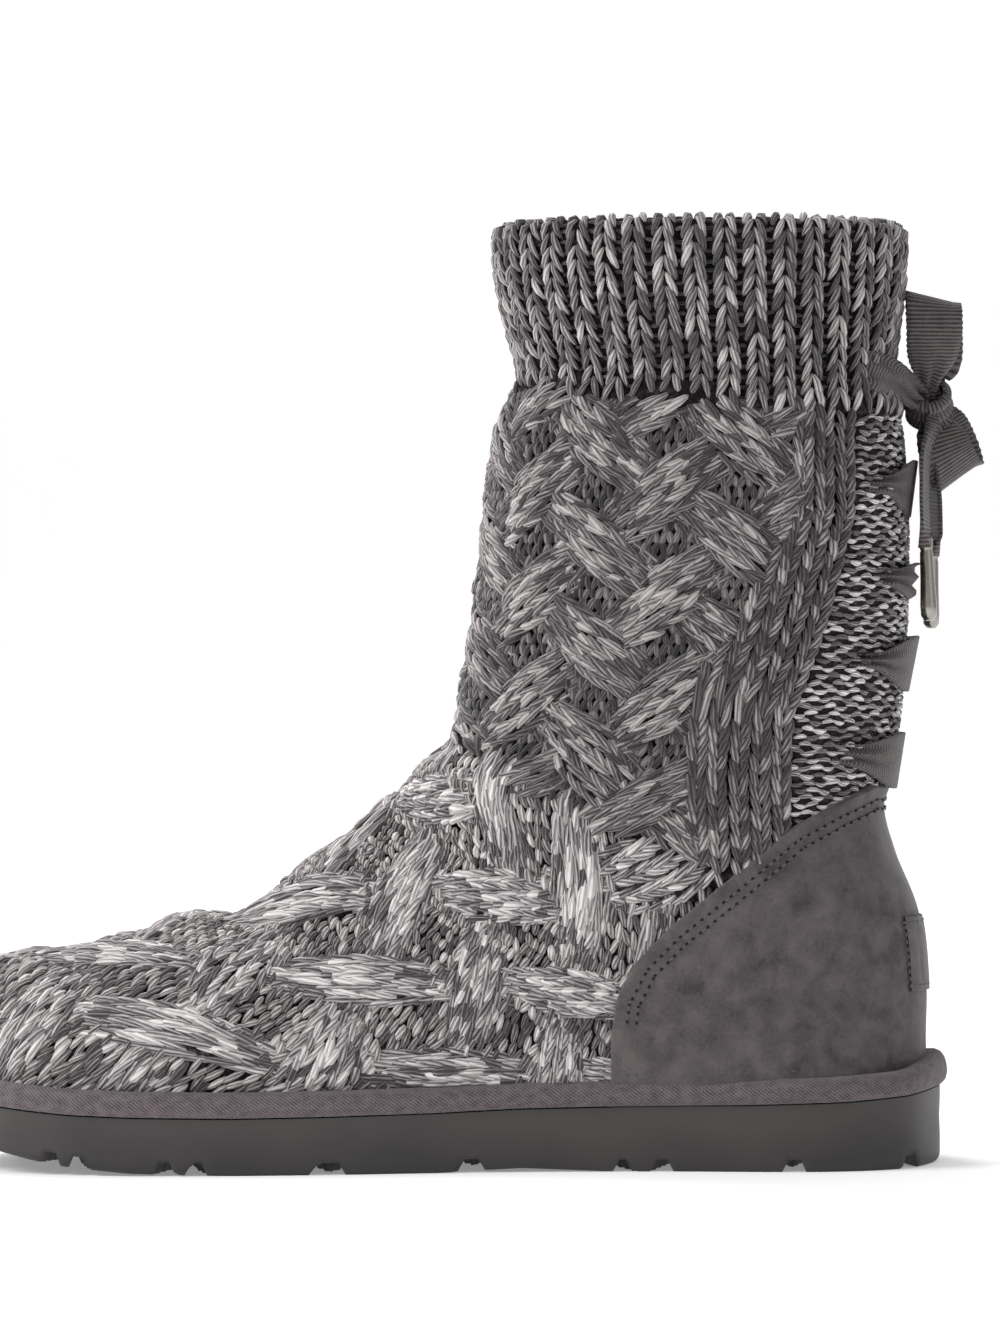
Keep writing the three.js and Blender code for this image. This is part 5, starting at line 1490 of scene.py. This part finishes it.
def addColumns():
    rows = np.arange(8, seamLength(panelEdge)[-1] - 8, column["row"])
    number, row, hand, side = (g.ravel() for g in np.meshgrid(np.arange(column["count"]), rows, (-1, 1),
                                                              (-1.0, 1.0), indexing="ij"))
    count = len(number)
    step = armSteps(column["long"] * rng.uniform(0.9, 1.1, count))
    across = (number[:, None] + 0.5) * column["pitch"] + hand[:, None] * (1.3 - 0.36 * step)
    across = across + rng.normal(0, 0.15, count)[:, None]
    along = (row + (number % 2) * column["row"] / 2)[:, None] + step + rng.normal(0, 0.2, count)[:, None]
    x, z = alongSeam(panelEdge, -across, along)
    spots = sideSpots(x, z, side[:, None], boot["legKnit"])
    middle = np.stack([x[:, 3], x[:, 3] * 0, z[:, 3]], -1)
    chosen = (across[:, 3] < columnReach(middle[:, 2]) + 3) & (beyondAnkle(middle) > 0)
    chosen &= (insideCounter(middle) < 2) & (aboveCuffEdge(middle) < 0.5)
    heights = archedHeights(boot["legKnit"] + 0.8, 1.5, 0.15, count)
    radii = column["radius"] * rng.uniform(0.8, 1.12, count)
    addArms("leg_columns", spots, heights, radii, legYarn, chosen, shadeCells(np.full(count, 0.3)))


panel = {"row": 2.05, "wale": 3.5, "long": 4.4, "radius": 0.68, "bend": 0.45}


def addPanelArms():
    z, around = lattice((92, 214), (-62, 62), panel["row"], panel["wale"])
    count = len(z)
    step = armSteps(panel["long"] * rng.uniform(0.85, 1.15, count))
    fromBack = around[:, None] + step
    bend = np.where(np.arange(count) % 2 == 0, panel["bend"], -panel["bend"])[:, None]
    pathZ = z[:, None] + bend * arch + step * rng.normal(0, 0.12, count)[:, None]
    pathZ = pathZ + rng.normal(0, 0.15, count)[:, None]
    side = np.where(fromBack > 0, 1.0, -1.0)
    t = ringForZ(pathZ)
    for _ in range(3):
        t = legSpot(pathZ, -side * (wholeGirthAt(t) - np.abs(fromBack)))[0]
    spots = (t, turnFor(t, wholeGirthAt(t) - np.abs(fromBack)), side)
    middle = middleOf(*spots)
    chosen = (onPanel(middle) > 0.2) & (insideCounter(middle) < 1) & (aboveCuffEdge(middle) < 0.5)
    heights = archedHeights(boot["panelKnit"] - 0.05, 0.5, 0.08, count)
    radii = panel["radius"] * rng.uniform(0.85, 1.15, count)
    addArms("panel_stitches", spots, heights, radii, panelYarn, chosen)


addFootGaps()
addLegGaps()
addColumns()
addPanelArms()
print("plain knit ready")


# Suede counter and heel patch

# edge: steps down and out from the cut edge; rows: how far in from it the two seams lie; stitch: their pitch
counter = {"height": boot["counterStart"] + boot["suede"], "rows": (3.3, 5.8), "stitch": 2.5,
           "edge": ((0.15, 0.2), (0.7, 0.38), (1.6, 0.42), (2.6, 0.2)), "seamEnds": (16, 52),
           "lowSeam": (50, 131)}
# The patch's front edge from below up, in x and z
patch = {"front": ((126.4, 47.5), (124.5, 67.5)), "gap": 0.1, "thickness": 0.7, "inset": 1.4, "back": 135.5,
         "edge": ((0.15, 0.12), (0.8, 0.12))}
# Soft troughs and ridges of the suede: x, z, reach, depth
dents = [(112, 78, 13, 0.5), (88, 52, 16, 0.35), (120, 95, 9, 0.4), (70, 40, 12, -0.3), (104, 38, 11, -0.35)]


def counterHeight(t, turn, side):
    point = basePoint(t, turn, side)
    height = np.full(t.shape, float(counter["height"]))
    for x, z, reach, depth in dents:
        height -= depth * np.exp(-((point[..., 0] - x) ** 2 + (point[..., 2] - z) ** 2) / reach ** 2)
    inner = insideCounter(point)
    for row in counter["rows"]:
        height -= 0.22 * np.exp(-((inner - row) / 0.9) ** 2)
    return height


def patchFront(z):
    (x0, z0), (x1, z1) = patch["front"]
    return x0 + (x1 - x0) * (z - z0) / (z1 - z0)


def patchInside(points):
    z = points[..., 2]
    return np.minimum(points[..., 0] - patchFront(z),
                      np.minimum(z - patch["front"][0][1], patch["front"][1][1] - z))


def patchHeightAt(t, turn, side):
    inner = patchInside(basePoint(t, turn, side))
    top = counterHeight(t, turn, side) + patch["gap"] + patch["thickness"]
    return top - 0.12 * np.exp(-((inner - patch["inset"]) / 0.5) ** 2)  # pulled in along its seam


def stitchRow(x, z, side, height, radius, long):  # stitches along a line of points seen from the side
    step = np.hypot(np.gradient(x), np.gradient(z))
    place = armSteps(long)
    pathX, pathZ = (line[:, None] + (np.gradient(line) / step)[:, None] * place for line in (x, z))
    spots = sideSpots(pathX, pathZ, side, height)
    normal = baseNormal(*spots)
    lift = height - 0.25 * (1 - arch)
    paths = basePoint(*spots) + normal * lift[None, :, None]
    return armMesh(paths, normal[:, 2], np.full(len(x), radius), np.zeros(len(x), int))


def stitchPiece(name, parts, material):  # several rows of stitches as one piece, its pattern in millimetres
    points, tris, quads, triUv, quadUv, start = [], [], [], [], [], 0
    for partPoints, (partTris, partQuads), uv in parts:
        points.append(partPoints)
        tris.append(partTris + start)
        quads.append(partQuads + start)
        triUv.append(uv[:partTris.size])
        quadUv.append(uv[partTris.size:])
        start += len(partPoints)
    faces = [np.concatenate(tris), np.concatenate(quads)]
    uv = np.concatenate(triUv + quadUv) * 20
    return addPiece(name, np.concatenate(points), faces, material, uv)


def counterSeams(side):  # two rows of thread with the needle holes' painted shade between their stitches, and one over the tape
    threads, holes = [], []
    first, last = counter["seamEnds"]
    along = np.arange(first, seamLength(counterEdge)[-1] - last, counter["stitch"])
    for row in counter["rows"]:
        stitches = alongSeam(counterEdge, row, along)
        threads.append(stitchRow(*stitches, side, counter["height"] - 0.12, 0.36, 1.7))
        # Near-black spindles in the needle holes between the stitches: painted shade
        pits = alongSeam(counterEdge, row, along + counter["stitch"] / 2)
        holes.append(stitchRow(*pits, side, counter["height"] - 0.1, 0.48, 1.3))
    x = np.arange(*counter["lowSeam"], counter["stitch"])
    z = soleTopAt(x) + boot["tapeHeight"] * 1.08 + 1.5 + 2.6 * smooth(118, 137, x)
    threads.append(stitchRow(x, z, side, counter["height"] - 0.1, 0.34, 2.0))
    return threads, holes


def patchSeams(side):  # along the patch's front, bottom and top
    height, inset = counter["height"] + patch["gap"] + patch["thickness"], patch["inset"]
    (x0, z0), (x1, z1) = patch["front"]
    z = np.arange(z0 + inset, z1 - inset, 2.0)
    rows = [stitchRow(patchFront(z) + inset, z, side, height, 0.3, 1.4)]
    for level, start in ((z0 + inset, x0), (z1 - inset, x1)):
        x = np.arange(start + inset, patch["back"], 1.4)
        rows.append(stitchRow(x, np.full(x.shape, level), side, height, 0.3, 1.0))
    return rows


def addCounter():
    points, faces = bothSides((8.5, 20), (0.22, 1), 150, 110, counterHeight, insideCounter, counter["edge"])
    addPiece("suede_counter", points, [faces], suede, stands=("heel_counter",))
    points, faces = bothSides((10.5, 15), (0.86, 1), 60, 50, patchHeightAt, patchInside, patch["edge"])
    addPiece("suede_patch", points, [faces], suede, stands=("heel_patch",))
    threads, holes = [], []
    for side in (-1, 1):
        rows, pits = counterSeams(side)
        threads += rows + patchSeams(side)
        holes += pits
    stitchPiece("counter_thread", threads, thread)
    stitchPiece("counter_hole_shade", holes, holeShade)


lining = {"rows": 150, "columns": 44, "start": 0.3, "proud": 0.15, "belowRoll": 6}


def addLining():
    parts = []
    top = bootTop - cuff["roll"] - lining["belowRoll"]
    for side in (-1, 1):
        place = sheetGrid((lining["start"], lastRing), (0, 1), side, lining["rows"], lining["columns"])
        points = skin(*place, np.full(place[0].shape, lining["proud"] - boot["liningWall"]))
        keep = points[..., 2].ravel() < top
        faces = gridFaces(lining["rows"], lining["columns"])
        parts.append((points, facingOut(faces[keep[faces].all(1)], -side)))
    points, faces = trimmed(*joined(parts))
    addPiece("fleece_lining", points, [faces], fleece)


addCounter()
addLining()
print("counter and lining ready")
